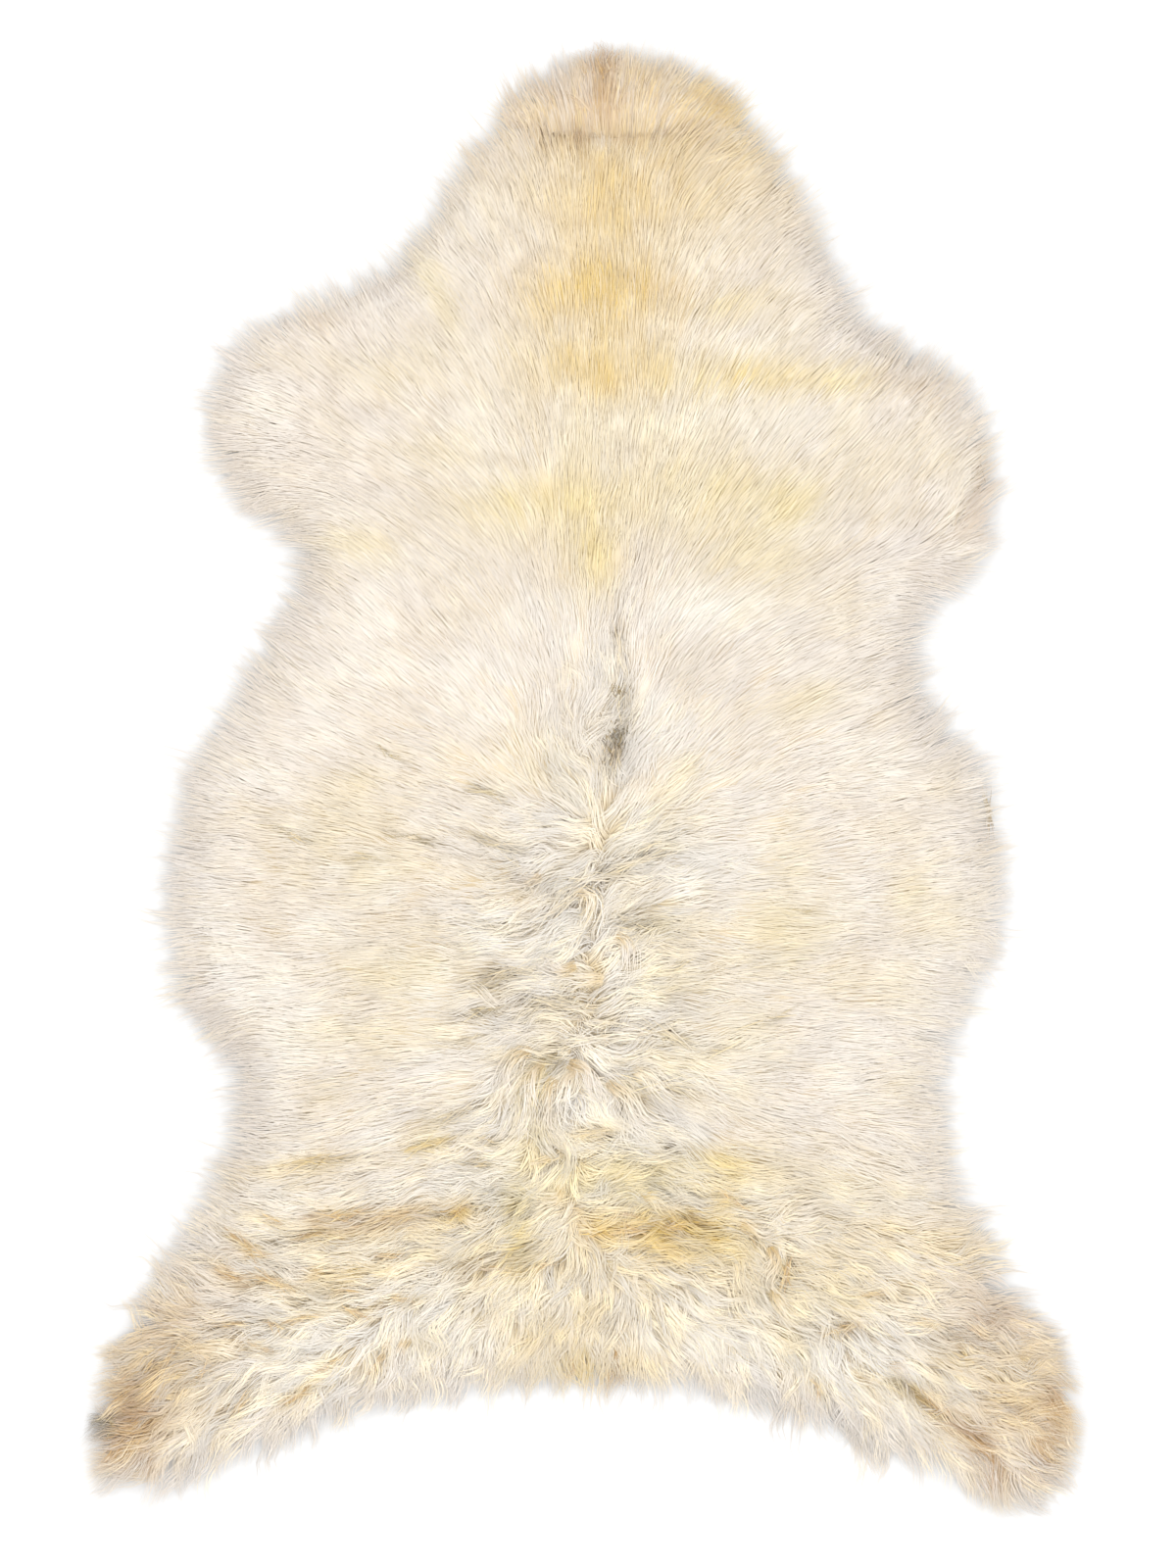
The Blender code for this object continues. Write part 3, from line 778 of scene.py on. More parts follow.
def comb_flow(maps):
    """A map of the way the wool lies, as a unit vector at each point, and a map of how strongly it curls."""
    row = maps["along"] * (len(SECTIONS) - 1)
    curl = in_table(CURLS, CURL_ACROSS, np.abs(maps["across"]), row)
    table = np.array(COMBS, float)
    flow = np.zeros((*row.shape, 2))
    for part, wave in enumerate((np.cos, np.sin)):
        turned = np.column_stack([table[:, 0], wave(np.radians(table[:, 1:]))])
        flow[..., part] = in_table(turned, COMB_ACROSS, maps["across"], row)
    angle = np.arctan2(flow[..., 1], flow[..., 0])
    for swirl in SWIRLS:
        away = np.linalg.norm(maps["points"] - (swirl.x, swirl.y), axis=-1)
        angle += math.radians(swirl.turn) * np.exp(-((away / swirl.radius) ** 2))
    angle += soft_noise(maps["points"], size=46.0, seed=3) * (0.08 + 0.22 * curl)
    angle += soft_noise(maps["points"], size=17.0, seed=4) * (0.06 + 0.24 * curl)
    outward = np.stack(np.gradient(maps["outside"], PITCH), axis=-1)
    share = RIM_TURN * np.exp(-((np.minimum(maps["outside"], 0.0) / RIM_TURN_DEPTH) ** 2))[..., None]
    flow = unit(angle) * (1.0 - share) + outward * share
    return flow / (np.linalg.norm(flow, axis=-1, keepdims=True) + 1e-9), curl


def scatter_roots(maps, rng):
    """The roots of the locks, evenly spread inside the rim, and fewer where they curl and so are thicker."""
    rows = np.arange(-REACH_Y, REACH_Y, LOCK_SPACING * LOCK_ROWS)
    x, y = np.meshgrid(np.arange(-REACH_X, REACH_X, LOCK_SPACING), rows)
    x[::2] += LOCK_SPACING / 2
    roots = np.column_stack([x.ravel(), y.ravel()])
    roots += rng.uniform(-0.45, 0.45, roots.shape) * LOCK_SPACING
    roots = roots[sample(maps["outside"], roots) < -ROOT_INSET]
    curl = sample(maps["curl"], roots)
    return roots[rng.random(len(roots)) > curl * (1 - CURLED_LOCKS_KEPT)]


def bare_places(maps, locks):
    """Places inside the rim that few locks pass over, on a lattice, each several times over."""
    x = np.arange(-REACH_X, REACH_X, BARE_CELL)
    y = np.arange(-REACH_Y, REACH_Y, BARE_CELL)
    points = locks["path"][locks["outside"] < 0]
    passing = np.histogram2d(*points.T, bins=(x, y))[0]
    middles = np.stack(np.meshgrid(x[:-1], y[:-1], indexing="ij"), axis=-1) + BARE_CELL / 2
    bare = (passing < BARE_STEPS) & (sample(maps["outside"], middles) < -ROOT_INSET)
    return np.repeat(middles[bare], BARE_LOCKS, axis=0)


def grow_locks(maps, root, astray, rng):
    """The locks' paths over the floor, LOCK_STEPS points each, and what their strands take from them."""
    root = root.copy()
    count = len(root)
    beside = root[:, 0] + rng.normal(0, 9.0, count)
    at_neck = (beside > NECK_LINE_LEFT) & (beside < NECK_LINE_RIGHT)
    line_y = neck_line(root[:, 0])
    under_line = at_neck & (root[:, 1] < line_y)
    moved = under_line & (root[:, 1] > line_y - NECK_LINE_REACH) & (rng.random(count) < 0.5)
    root[moved, 1] = line_y[moved] + rng.uniform(-5.0, 3.0, moved.sum())
    under_line &= ~moved
    over_line = at_neck & ~under_line

    curl = np.clip(sample(maps["curl"], root) + rng.normal(0, 0.05, count), 0.02, 1.0)
    at_spine = np.exp(-((sample(maps["across"], root) / 0.10) ** 2))
    longer = np.zeros(count)
    for place in LONGER:
        away = np.linalg.norm(root - (place.x, place.y), axis=1)
        longer += place.reach * np.exp(-((away / (place.radius + ROOT_INSET)) ** 2))

    # The lock's length, its waves and how far it strays from the flow
    length = rng.uniform(*LOCK_LENGTHS, count) * (1 - 0.2 * curl) + np.maximum(longer, 0.0)
    step = length / (LOCK_STEPS - 1)
    wave = (LOCK_WAVES[0] + LOCK_WAVES[1] * curl) * rng.uniform(0.6, 1.0, count)
    wave_length = 50 + 12 * soft_noise(root, size=30.0, seed=8)
    phase = soft_noise(root, size=24.0, seed=9) * 4.0 + rng.normal(0, 0.3, count)
    stray = 0.3 * curl * soft_noise(root, size=13.0, seed=10)
    stray += rng.normal(0, 1, count) * (0.05 + 0.06 * curl)
    stray += rng.normal(0, 0.14, count) * at_spine * curl + rng.normal(0, 1, count) * astray

    # It begins a little behind its root, keeps its first direction up to there and then follows the flow
    flow = sample(maps["flow"], root)
    first = unit(np.arctan2(flow[:, 1], flow[:, 0]) + stray)
    back = rng.uniform(*SHARES_BEHIND_ROOT, count) * length
    back[over_line] = np.clip(root[:, 1] - line_y + 5.0, 0.0, back)[over_line]
    path = [root - first * back[:, None]]
    for k in range(1, LOCK_STEPS):
        memory = np.clip(1.2 - k * step / (back + 1.0), 0.0, 1.0)[:, None]
        flow = first * memory + sample(maps["flow"], path[-1]) * (1 - memory)
        angle = np.arctan2(flow[:, 1], flow[:, 0]) + stray
        angle += wave * np.sin(2 * math.pi * k * step / wave_length + phase)
        path.append(path[-1] + unit(angle) * step[:, None])
    path = np.stack(path, axis=1)

    # How far past the rim it may reach, and where the line across the neck stops it
    reach = 3.0 * soft_noise(root, size=22.0, seed=12) + rng.normal(2.5, 2.5, count) + longer
    outside = sample(maps["outside"], path)
    past_line = path[..., 1] > neck_line(path[..., 0]) + rng.normal(0, 1.5, count)[:, None]
    ends = rng.normal(14.0, 8.0, (count, 1))
    past_line &= (path[..., 0] < NECK_LINE_RIGHT - ends) & (path[..., 0] > NECK_LINE_LEFT + ends)
    stops = (under_line[:, None] & past_line) | (np.abs(path) > FARTHEST).any(axis=-1)
    outside[stops] = FAR_OUT
    return {
        "path": path,
        "outside": outside,
        "curl": curl,
        "reach": reach,
        "pressed": sample(maps["pressed"], path),
        "random": rng.random(count),
        "lift": rng.normal(0, 2.0, count) * curl,
    }


def along_path(path, share):
    """Points at shares of the way along paths of evenly spaced points."""
    place = np.clip(share, 0, 1) * (path.shape[1] - 1)
    first = np.minimum(place.astype(int), path.shape[1] - 2)
    rest = (place - first)[..., None]
    line = np.arange(len(path))[:, None]
    return path[line, first] * (1 - rest) + path[line, first + 1] * rest


def directions(line):
    """Unit vectors along lines of points."""
    run = np.gradient(line, axis=1)
    return run / (np.linalg.norm(run, axis=2, keepdims=True) + 1e-9)


def left_of(direction):
    """Each direction turned a quarter to the left."""
    return np.stack([-direction[..., 1], direction[..., 0]], axis=-1)


def column(rows, name):
    """One column of a table, with a value for each of these rows."""
    return np.array([getattr(row, name) for row in rows], float)[:, None]


def places_of(rows):
    return np.stack([column(rows, "x"), column(rows, "y")], axis=-1)


def strand_set(place, z, side, half_width, roll, traits, stains_and_painted_light):
    """A set of strands: where each runs, its ribbon's shape, and the traits, stains, painted shade and
    painted highlights of its colour.
    """
    return {
        "centre": np.concatenate([place, z[..., None]], axis=-1),
        "side": side,
        "half_width": np.broadcast_to(half_width, z.shape),
        "roll": np.broadcast_to(roll, z.shape),
        "strand": np.stack([np.broadcast_to(trait, z.shape) for trait in traits], axis=-1),
        "stains_and_painted_light": stains_and_painted_light,
    }


def grow_strands(maps, locks, members, kind, rng):
    """Strands side by side in each of these locks, following the lock's path."""
    chosen = np.repeat(members, kind.strands)
    order = np.tile(np.arange(kind.strands), len(members))[:, None]
    count = len(chosen)
    curl = locks["curl"][chosen][:, None]
    at_neck = smooth_step((locks["path"][chosen, 0, 1:] - NECK_LOOSE_Y) / NECK_LOOSE_OVER)
    loose = np.minimum(curl * 1.4 + 0.8 * at_neck, 1.0)
    t = np.linspace(0.0, 1.0, kind.rings)[None, :]

    # Where each strand ends: past the rim, in a crease or near its lock's tip
    wisp = (rng.random(count) < WISP_SHARE) * rng.uniform(*WISP_LENGTHS, count)
    reach = np.minimum(rng.gamma(1.6, 8.5, count) + 1.0 + wisp, LONGEST_REACH) + locks["reach"][chosen]
    past_rim = locks["outside"][chosen] > reach[:, None]
    in_crease = locks["pressed"][chosen] > rng.uniform(*CREASE_STOPS, (count, 1))
    over = past_rim | in_crease
    over[:, :3] = False
    steps = np.where(over.any(axis=1), over.argmax(axis=1) - rng.random(count), LOCK_STEPS - 1)
    end = np.minimum(steps / (LOCK_STEPS - 1), rng.uniform(0.8, 1.0, count))
    centre = along_path(locks["path"][chosen], t * end[:, None])
    side = left_of(directions(centre))

    # Its place beside the lock's path, and its height over the floor
    beside = 2.0 * (order + rng.random((count, 1))) / kind.strands - 1.0
    across = (LOCK_SPREAD[0] + LOCK_SPREAD[1] * curl) * beside
    at_rim = past_rim.any(axis=1)[:, None]
    taper = 1.0 - np.where(at_rim, 0.3, 0.15 + 0.65 * curl) * smooth_step(t)
    wander = rng.normal(0, 1.0, (count, 1)) * t**2 * 2.5
    place = centre + side * (across * taper + wander)[..., None]

    surface = sample(maps["height"], place)
    depth = ROOT_DEPTH[0] + ROOT_DEPTH[1] * np.minimum(curl * 1.5, 1.0)
    rise = 1.0 - depth * (1.0 - t) ** 1.5
    dome = (LOCK_DOME[0] + LOCK_DOME[1] * curl) * (np.sqrt(1.0 - beside**2) - 0.6) * taper
    lift = rng.gamma(2.0, 0.5, (count, 1)) * t**2 + locks["lift"][chosen][:, None]
    deepest = (STRAND_SINK[0] + STRAND_SINK[1] * loose) * (surface / SINK_AT_HEIGHT)
    sink = rng.uniform(0.0, 1.0, (count, 1)) * deepest
    z = np.maximum(surface * rise + dome + lift - sink, 0.8 + 0.6 * rng.random((count, 1)))

    # Its stains and painted shade, a little astray from the map, and the dark ones, among them the grey of
    # painted crease shade, and the gold uneven from strand to strand
    stray = rng.normal(0, 2.5, (count, 1, 2))
    stains_and_painted_light = sample(maps["stains_and_painted_light"], place + stray)
    dark = [STAIN_AND_PAINTED_LIGHT_NAMES.index(name) for name in ("grey", "rust", "soot")]
    stains_and_painted_light[..., dark] = np.minimum(stains_and_painted_light[..., dark] * 2.4 * rng.random((count, 1, 1)) ** 1.4, 1.0)
    gold = STAIN_AND_PAINTED_LIGHT_NAMES.index("gold")
    stains_and_painted_light[..., gold] = np.minimum(stains_and_painted_light[..., gold] * rng.uniform(0.7, 1.35, (count, 1)), 1.0)

    # Its own shade and its lock's, and its ribbon, which is thinner where it reaches far out
    own_random = 0.5 + (rng.random((count, 1)) - 0.5) * (0.2 + 0.8 * loose)
    lock_random = 0.5 + (locks["random"][chosen][:, None] - 0.5) * (0.4 + 0.6 * loose)
    far_out = smooth_step((reach[:, None] - 6.0) / 16.0) * at_rim
    thinner = 1.0 - 0.72 * far_out * smooth_step(t * 2.0 - 0.3)
    half_width = rng.uniform(*HALF_WIDTHS, (count, 1)) * (1.0 - 0.15 * curl) * thinner
    half_width = half_width * (0.6 + 0.4 * np.sin(math.pi * np.minimum(t * 1.2, 1)))
    roll = rng.uniform(-0.3, 0.3, (count, 1)) * (0.3 + 0.7 * loose) - 0.85 * curl * beside
    return strand_set(place, z, side, half_width, roll, (t, own_random, lock_random, curl), stains_and_painted_light)


def grow_tufts(rng):
    """The strands of the tufts, which curl over from their roots down to the floor."""
    rows = [tuft for tuft in TUFTS for strand in range(tuft.strands)]
    count = len(rows)
    t = np.linspace(0.0, 1.0, TUFT_RINGS)[None, :]
    bend = column(rows, "bend") * (t - 0.3)
    angle = np.radians(column(rows, "turn") + bend + rng.normal(0, 7, (count, 1)))
    angle = angle + 0.5 * np.sin(2 * math.pi * (1.4 * t + rng.normal(0, 0.08, (count, 1))))
    length = column(rows, "length") * rng.uniform(0.6, 1.1, (count, 1))
    run = unit(angle) * (length / (TUFT_RINGS - 1))[..., None]
    root = places_of(rows) + rng.normal(0, 0.5, (count, 1, 2)) * column(rows, "spread")[..., None]
    place = root + np.cumsum(run, axis=1) - run
    z = np.maximum(column(rows, "height") * (1 - 0.75 * t) + rng.normal(0, 1.5, (count, 1)), 1.0)

    stains_and_painted_light = np.zeros((count, TUFT_RINGS, len(STAIN_AND_PAINTED_LIGHT_NAMES)))
    number = [STAIN_AND_PAINTED_LIGHT_NAMES.index(row.stain) for row in rows]
    stains_and_painted_light[np.arange(count), :, number] = rng.uniform(0.4, 0.95, (count, 1))
    random = rng.random((count, 1))
    roll = rng.uniform(-0.7, 0.7, (count, 1))
    side = left_of(directions(place))
    return strand_set(place, z, side, TUFT_HALF_WIDTH * (1.1 - t), roll, (t, random, random, 0.5), stains_and_painted_light)


def grow_ringlets(maps, rng):
    """The strands of the ringlets, side by side over a rounded lock that swells in its middle."""
    rows = [ringlet for ringlet in RINGLETS for strand in range(RINGLET_STRANDS)]
    count = len(rows)
    order = np.tile(np.arange(RINGLET_STRANDS), len(RINGLETS))[:, None]
    t = np.linspace(0.0, 1.0, RINGLET_RINGS)[None, :]
    angle = column(rows, "turn") + column(rows, "first_bend") * smooth_step(2.0 * t)
    angle = angle + column(rows, "second_bend") * smooth_step(2.0 * t - 1.0)
    angle = np.radians(angle + rng.normal(0, 5, (count, 1)) + rng.normal(0, 16, (count, 1)) * t)
    angle = angle + 0.3 * np.sin(2 * math.pi * (1.6 * t + rng.normal(0, 0.1, (count, 1))))
    length = column(rows, "length") * rng.uniform(0.5, 1.1, (count, 1))
    run = unit(angle) * (length / (RINGLET_RINGS - 1))[..., None]
    centre = places_of(rows) + np.cumsum(run, axis=1) - run
    side = left_of(directions(centre))
    beside = 2.0 * (order + rng.random((count, 1))) / RINGLET_STRANDS - 1.0
    swell = 0.35 + 0.65 * np.sin(math.pi * np.clip(t * 1.1, 0.0, 1.0))
    place = centre + side * (0.6 * column(rows, "width") * beside * (0.6 + 0.4 * swell))[..., None]

    dome = 3.0 * np.sqrt(1.0 - beside**2) * swell
    rooted = 5.0 * (1.0 - smooth_step(t * 4.0))
    z = sample(maps["height"], place) + dome - rooted - 2.5 * rng.random((count, 1))
    stains_and_painted_light = sample(maps["stains_and_painted_light"], place)
    number = [STAIN_AND_PAINTED_LIGHT_NAMES.index(row.stain) for row in rows]
    stains_and_painted_light[np.arange(count), :, number] = 0.5 * rng.random((count, 1)) ** 2
    random = rng.random((count, 1))
    half_width = rng.uniform(*RINGLET_HALF_WIDTHS, (count, 1)) * swell
    roll = -0.8 * beside + rng.uniform(-0.3, 0.3, (count, 1))
    return strand_set(place, z, side, half_width, roll, (t, random, 0.5, 0.8), stains_and_painted_light)


def grow_gap_hairs(maps, rng):
    """Dark hairs that lie along the creases below the line across the neck, painted shade of the parted locks
    with some of the dark root wool that shows there.
    """
    rows = []
    for crease in CREASES:
        if crease.y < BELOW_NECK_LINE:
            rows += [crease] * round(crease.half_length * crease.width * GAP_HAIRS)
    count = len(rows)
    t = np.linspace(0.0, 1.0, HAIR_RINGS)[None, :]
    turn = column(rows, "turn") + rng.normal(0, 14, (count, 1))
    angle = np.radians(turn + rng.normal(0, 30, (count, 1)) * (t - 0.5) ** 2)
    length = 2.0 * column(rows, "half_length") * rng.uniform(0.3, 0.9, (count, 1))
    along = unit(np.radians(column(rows, "turn")))
    forward = rng.uniform(-0.5, 0.5, (count, 1)) * column(rows, "half_length")
    aside = rng.normal(0, 0.32, (count, 1)) * column(rows, "width")
    middle = places_of(rows) + along * forward[..., None] + left_of(along) * aside[..., None]
    run = unit(angle) * (length / (HAIR_RINGS - 1))[..., None]
    place = np.cumsum(run, axis=1)
    place = place - place.mean(axis=1, keepdims=True) + middle

    stains_and_painted_light = sample(maps["stains_and_painted_light"], place)
    low = smooth_step((BROWN_FROM_Y - column(rows, "y")) / BROWN_OVER)
    stains_and_painted_light[..., STAIN_AND_PAINTED_LIGHT_NAMES.index("grey")] = rng.uniform(0.25, 1.0, (count, 1)) * (1.0 - 0.7 * low)
    stains_and_painted_light[..., STAIN_AND_PAINTED_LIGHT_NAMES.index("rust")] = rng.uniform(0.0, 0.8, (count, 1)) * low
    random = rng.random((count, 1))
    z = sample(maps["height"], place) + rng.uniform(-1.0, 1.5, (count, 1)) - 3.0 * (2 * t - 1) ** 2
    half_width = rng.uniform(*HAIR_HALF_WIDTHS, (count, 1)) * np.sin(math.pi * (0.1 + 0.9 * t))
    roll = rng.uniform(-0.4, 0.4, (count, 1))
    side = left_of(directions(place))
    return strand_set(place, z, side, half_width, roll, (0.2, random, random, 0.5), stains_and_painted_light)


def to_verts(rings):
    """Values at a ribbon's rings, laid out for its vertices: two at each ring and one at the tip."""
    pairs = np.repeat(rings[:, :-1], 2, axis=1)
    return np.concatenate([pairs, rings[:, -1:]], axis=1).reshape(-1, rings.shape[-1])


def ribbons(strands, first_vert):
    """Ribbons along strands, pointed at the tip: vertices, their places laid flat, quads and triangles."""
    centre, side, roll = strands["centre"], strands["side"], strands["roll"][..., None]
    count, rings = centre.shape[:2]
    flat = np.concatenate([side, np.zeros((count, rings, 1))], axis=-1)
    upright = np.cross(directions(centre), flat)
    half = strands["half_width"][..., None]
    offset = (flat * np.cos(roll) + upright * np.sin(roll)) * half
    sign = np.tile([-1.0, 1.0], rings)[: 2 * rings - 1]
    sign[-1] = 0.0
    sign = np.tile(sign, count)[:, None]
    verts = to_verts(centre) + to_verts(offset) * sign
    verts[:, 2] = np.maximum(verts[:, 2], LOWEST)
    spread = to_verts(centre[..., :2]) + to_verts(side * half) * sign

    each = 2 * rings - 1
    start = first_vert + np.arange(count)[:, None] * each
    ring = 2 * np.arange(rings - 2)[None, :]
    quads = np.stack([start + ring, start + ring + 1, start + ring + 3, start + ring + 2], axis=-1)
    tips = start + np.array([[each - 3, each - 2, each - 1]])
    return verts, spread, quads.reshape(-1, 4), tips


def wool_attributes(mesh, strand, stains_and_painted_light):
    """The vertex attributes that the wool's material reads."""
    for name, values in (("strand", strand), ("pale", stains_and_painted_light[:, :4]), ("deep", stains_and_painted_light[:, 4:])):
        layer = mesh.attributes.new(name, "FLOAT_COLOR", "POINT")
        layer.data.foreach_set("color", values.astype(np.float32).reshape(-1))


def wool_mesh(name, kinds):
    """One mesh of ribbons from several sets of strands, with the attributes that its material reads."""
    verts, spreads, quads, tips = [], [], [], []
    first = 0
    for strands in kinds:
        v, s, q, tip = ribbons(strands, first)
        first += len(v)
        verts.append(v)
        spreads.append(s)
        quads.append(q)
        tips.append(tip)
    verts, spreads, quads, tips = (np.concatenate(part) for part in (verts, spreads, quads, tips))

    mesh = bpy.data.meshes.new(name)
    corners = np.concatenate([quads.reshape(-1), tips.reshape(-1)]).astype(np.int32)
    starts = np.concatenate([np.arange(len(quads)) * 4, quads.size + np.arange(len(tips)) * 3])
    mesh.vertices.add(len(verts))
    mesh.vertices.foreach_set("co", (verts * MM).astype(np.float32).reshape(-1))
    mesh.loops.add(len(corners))
    mesh.loops.foreach_set("vertex_index", corners)
    mesh.polygons.add(len(starts))
    mesh.polygons.foreach_set("loop_start", starts.astype(np.int32))
    mesh.update(calc_edges=True)
    mesh.shade_smooth()

    low, high = spreads.min(axis=0), spreads.max(axis=0)
    baked = mesh.uv_layers.new(name="OFBake")
    baked.data.foreach_set("uv", ((spreads - low) / (high - low))[corners].astype(np.float32).reshape(-1))
    strand = np.concatenate([to_verts(s["strand"]) for s in kinds])
    stains_and_painted_light = np.concatenate([to_verts(s["stains_and_painted_light"]) for s in kinds])
    wool_attributes(mesh, strand, stains_and_painted_light)
    return mesh


def channels(tree, attribute):
    """The four parts of a colour attribute."""
    node = tree.nodes.new("ShaderNodeAttribute")
    node.attribute_name = attribute
    parts = tree.nodes.new("ShaderNodeSeparateColor")
    tree.links.new(node.outputs["Color"], parts.inputs["Color"])
    return [parts.outputs["Red"], parts.outputs["Green"], parts.outputs["Blue"], node.outputs["Alpha"]]


def mix(tree, share, first, second, blend="MIX"):
    """A mix of two colours, each a socket or a value."""
    node = tree.nodes.new("ShaderNodeMix")
    node.data_type = "RGBA"
    node.blend_type = blend
    for socket, value in ((node.inputs[0], share), (node.inputs[6], first), (node.inputs[7], second)):
        if isinstance(value, bpy.types.NodeSocket):
            tree.links.new(value, socket)
        else:
            socket.default_value = value
    return node.outputs[2]


def ramp(tree, share, stops):
    """A colour ramp with these stops: (place, colour)."""
    node = tree.nodes.new("ShaderNodeValToRGB")
    elements = node.color_ramp.elements
    elements[0].position, elements[0].color = stops[0]
    elements[1].position, elements[1].color = stops[-1]
    for place, colour in stops[1:-1]:
        elements.new(place).color = colour
    tree.links.new(share, node.inputs["Fac"])
    return node.outputs["Color"]


def grey(value):
    return (value, value, value, 1.0)


def shades(tree, share, low, high):
    """Greys from low to high, for a share from 0 to 1."""
    return ramp(tree, share, [(0.0, grey(low)), (1.0, grey(high))])


def new_material(name, roughness):
    material = bpy.data.materials.new(name)
    material.use_nodes = True
    shader = material.node_tree.nodes["Principled BSDF"]
    shader.inputs["Roughness"].default_value = roughness
    return material, material.node_tree, shader


def wool_material():
    """Cream wool, deeper at its roots, partly its own colour and partly painted shade of the wool's depths,
    with the stains, painted shade and painted highlights laid over it and every strand a little different.
    """
    material, tree, shader = new_material("wool", 0.7)
    t, strand_random, lock_random, curl = channels(tree, "strand")
    colour = ramp(tree, t, [(0.0, CREAM_DEEP), (0.55, CREAM_TIP), (1.0, CREAM_TIP)])
    for name, share in zip(STAIN_AND_PAINTED_LIGHT_NAMES, channels(tree, "pale") + channels(tree, "deep")):
        colour = mix(tree, share, colour, STAIN_AND_PAINTED_LIGHT_COLOURS[name])

    # Some locks are paler and some yellower
    paler = ramp(tree, lock_random, [(0.0, grey(0.4)), (0.5, grey(0.0)), (1.0, grey(0.0))])
    yellower = ramp(tree, lock_random, [(0.0, grey(0.0)), (0.5, grey(0.05)), (1.0, grey(0.3))])
    colour = mix(tree, paler, colour, STAIN_AND_PAINTED_LIGHT_COLOURS["white"])
    colour = mix(tree, yellower, colour, STAIN_AND_PAINTED_LIGHT_COLOURS["yellow"])
    strand_shade = shades(tree, strand_random, *STRAND_SHADES)
    lock_shade = shades(tree, lock_random, *LOCK_SHADES)
    for shade in (strand_shade, lock_shade):
        colour = mix(tree, 1.0, colour, shade, "MULTIPLY")

    # Curled locks are painted warmer at their roots, as shade warmed by the light that bounces between them,
    # and differ more from each other
    root_shade = ramp(tree, t, [(0.0, grey(1.0)), (0.5, grey(0.0)), (1.0, grey(0.0))])
    root_shade = mix(tree, 1.0, root_shade, curl, "MULTIPLY")
    colour = mix(tree, root_shade, colour, PAINTED_ROOT_SHADE, "MULTIPLY")
    curled_shade = shades(tree, lock_random, *CURLED_LOCK_SHADES)
    colour = mix(tree, curl, colour, curled_shade, "MULTIPLY")
    tree.links.new(colour, shader.inputs["Base Color"])
    return material


def place_piece(name, mesh, material):
    piece = bpy.data.objects.new(name, mesh)
    bpy.context.scene.collection.objects.link(piece)
    mesh.materials.append(material)
    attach(piece, "root")
    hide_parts("pelt")
    return piece


def plan_body(name, grid, across_share, along_share, top, bottom):
    """A closed body over the rug's plan, between two heights that depend on the place on the floor."""
    columns, rows = grid
    across, along = np.meshgrid(np.linspace(-1, 1, columns), np.linspace(0, 1, rows), indexing="ij")
    place = plan_point(across * across_share, 0.5 + (along - 0.5) * along_share)
    count = columns * rows
    index = np.arange(count).reshape(columns, rows)
    over = np.stack([index[:-1, :-1], index[1:, :-1], index[1:, 1:], index[:-1, 1:]], axis=-1).reshape(-1, 4)
    under = over[:, ::-1] + count
    rim = np.concatenate([index[:-1, -1], index[-1, :0:-1], index[:0:-1, 0], index[0, :-1]])
    after = np.roll(rim, -1)
    walls = np.stack([rim, after, after + count, rim + count], axis=-1)
    sides = [np.concatenate([place, height(place)[..., None]], axis=-1) for height in (top, bottom)]
    verts = np.concatenate([side.reshape(-1, 3) for side in sides])
    faces = np.concatenate([over[:, ::-1], under[:, ::-1], walls])
    mesh = bpy.data.meshes.new(name)
    mesh.from_pydata((verts * MM).tolist(), [], faces.tolist())
    mesh.shade_smooth()
    return mesh


def noise(tree, scale, detail):
    """Noise in the object's own space."""
    node = tree.nodes.new("ShaderNodeTexNoise")
    node.inputs["Scale"].default_value = scale
    node.inputs["Detail"].default_value = detail
    place = tree.nodes.new("ShaderNodeTexCoord")
    tree.links.new(place.outputs["Object"], node.inputs["Vector"])
    return node.outputs["Fac"]


def bump(tree, shader, height, distance):
    node = tree.nodes.new("ShaderNodeBump")
    node.inputs["Distance"].default_value = distance * MM
    tree.links.new(height, node.inputs["Height"])
    tree.links.new(node.outputs["Normal"], shader.inputs["Normal"])


def suede_material():
    """The hide's flesh side: pale suede with a fine nap and wide, faint blotches."""
    material, tree, shader = new_material("suede", 0.92)
    nap = noise(tree, SUEDE_NAP_SCALE, 6.0)
    blotches = noise(tree, SUEDE_BLOTCH_SCALE, 3.0)
    colour = ramp(tree, blotches, [(0.32, SUEDE_TAN), (0.66, SUEDE_PALE)])
    colour = mix(tree, 1.0, colour, ramp(tree, nap, [(0.3, grey(0.90)), (0.7, grey(1.03))]), "MULTIPLY")
    tree.links.new(colour, shader.inputs["Base Color"])
    bump(tree, shader, nap, 0.3)
    return material


def level(height):
    """A height that is the same at every place."""
    return lambda place: np.full(place.shape[:-1], height)


def build_hide():
    mesh = plan_body("hide", HIDE_GRID, HIDE_ACROSS, HIDE_ALONG, level(HIDE_THICKNESS), level(0.0))
    return place_piece("hide", mesh, suede_material())


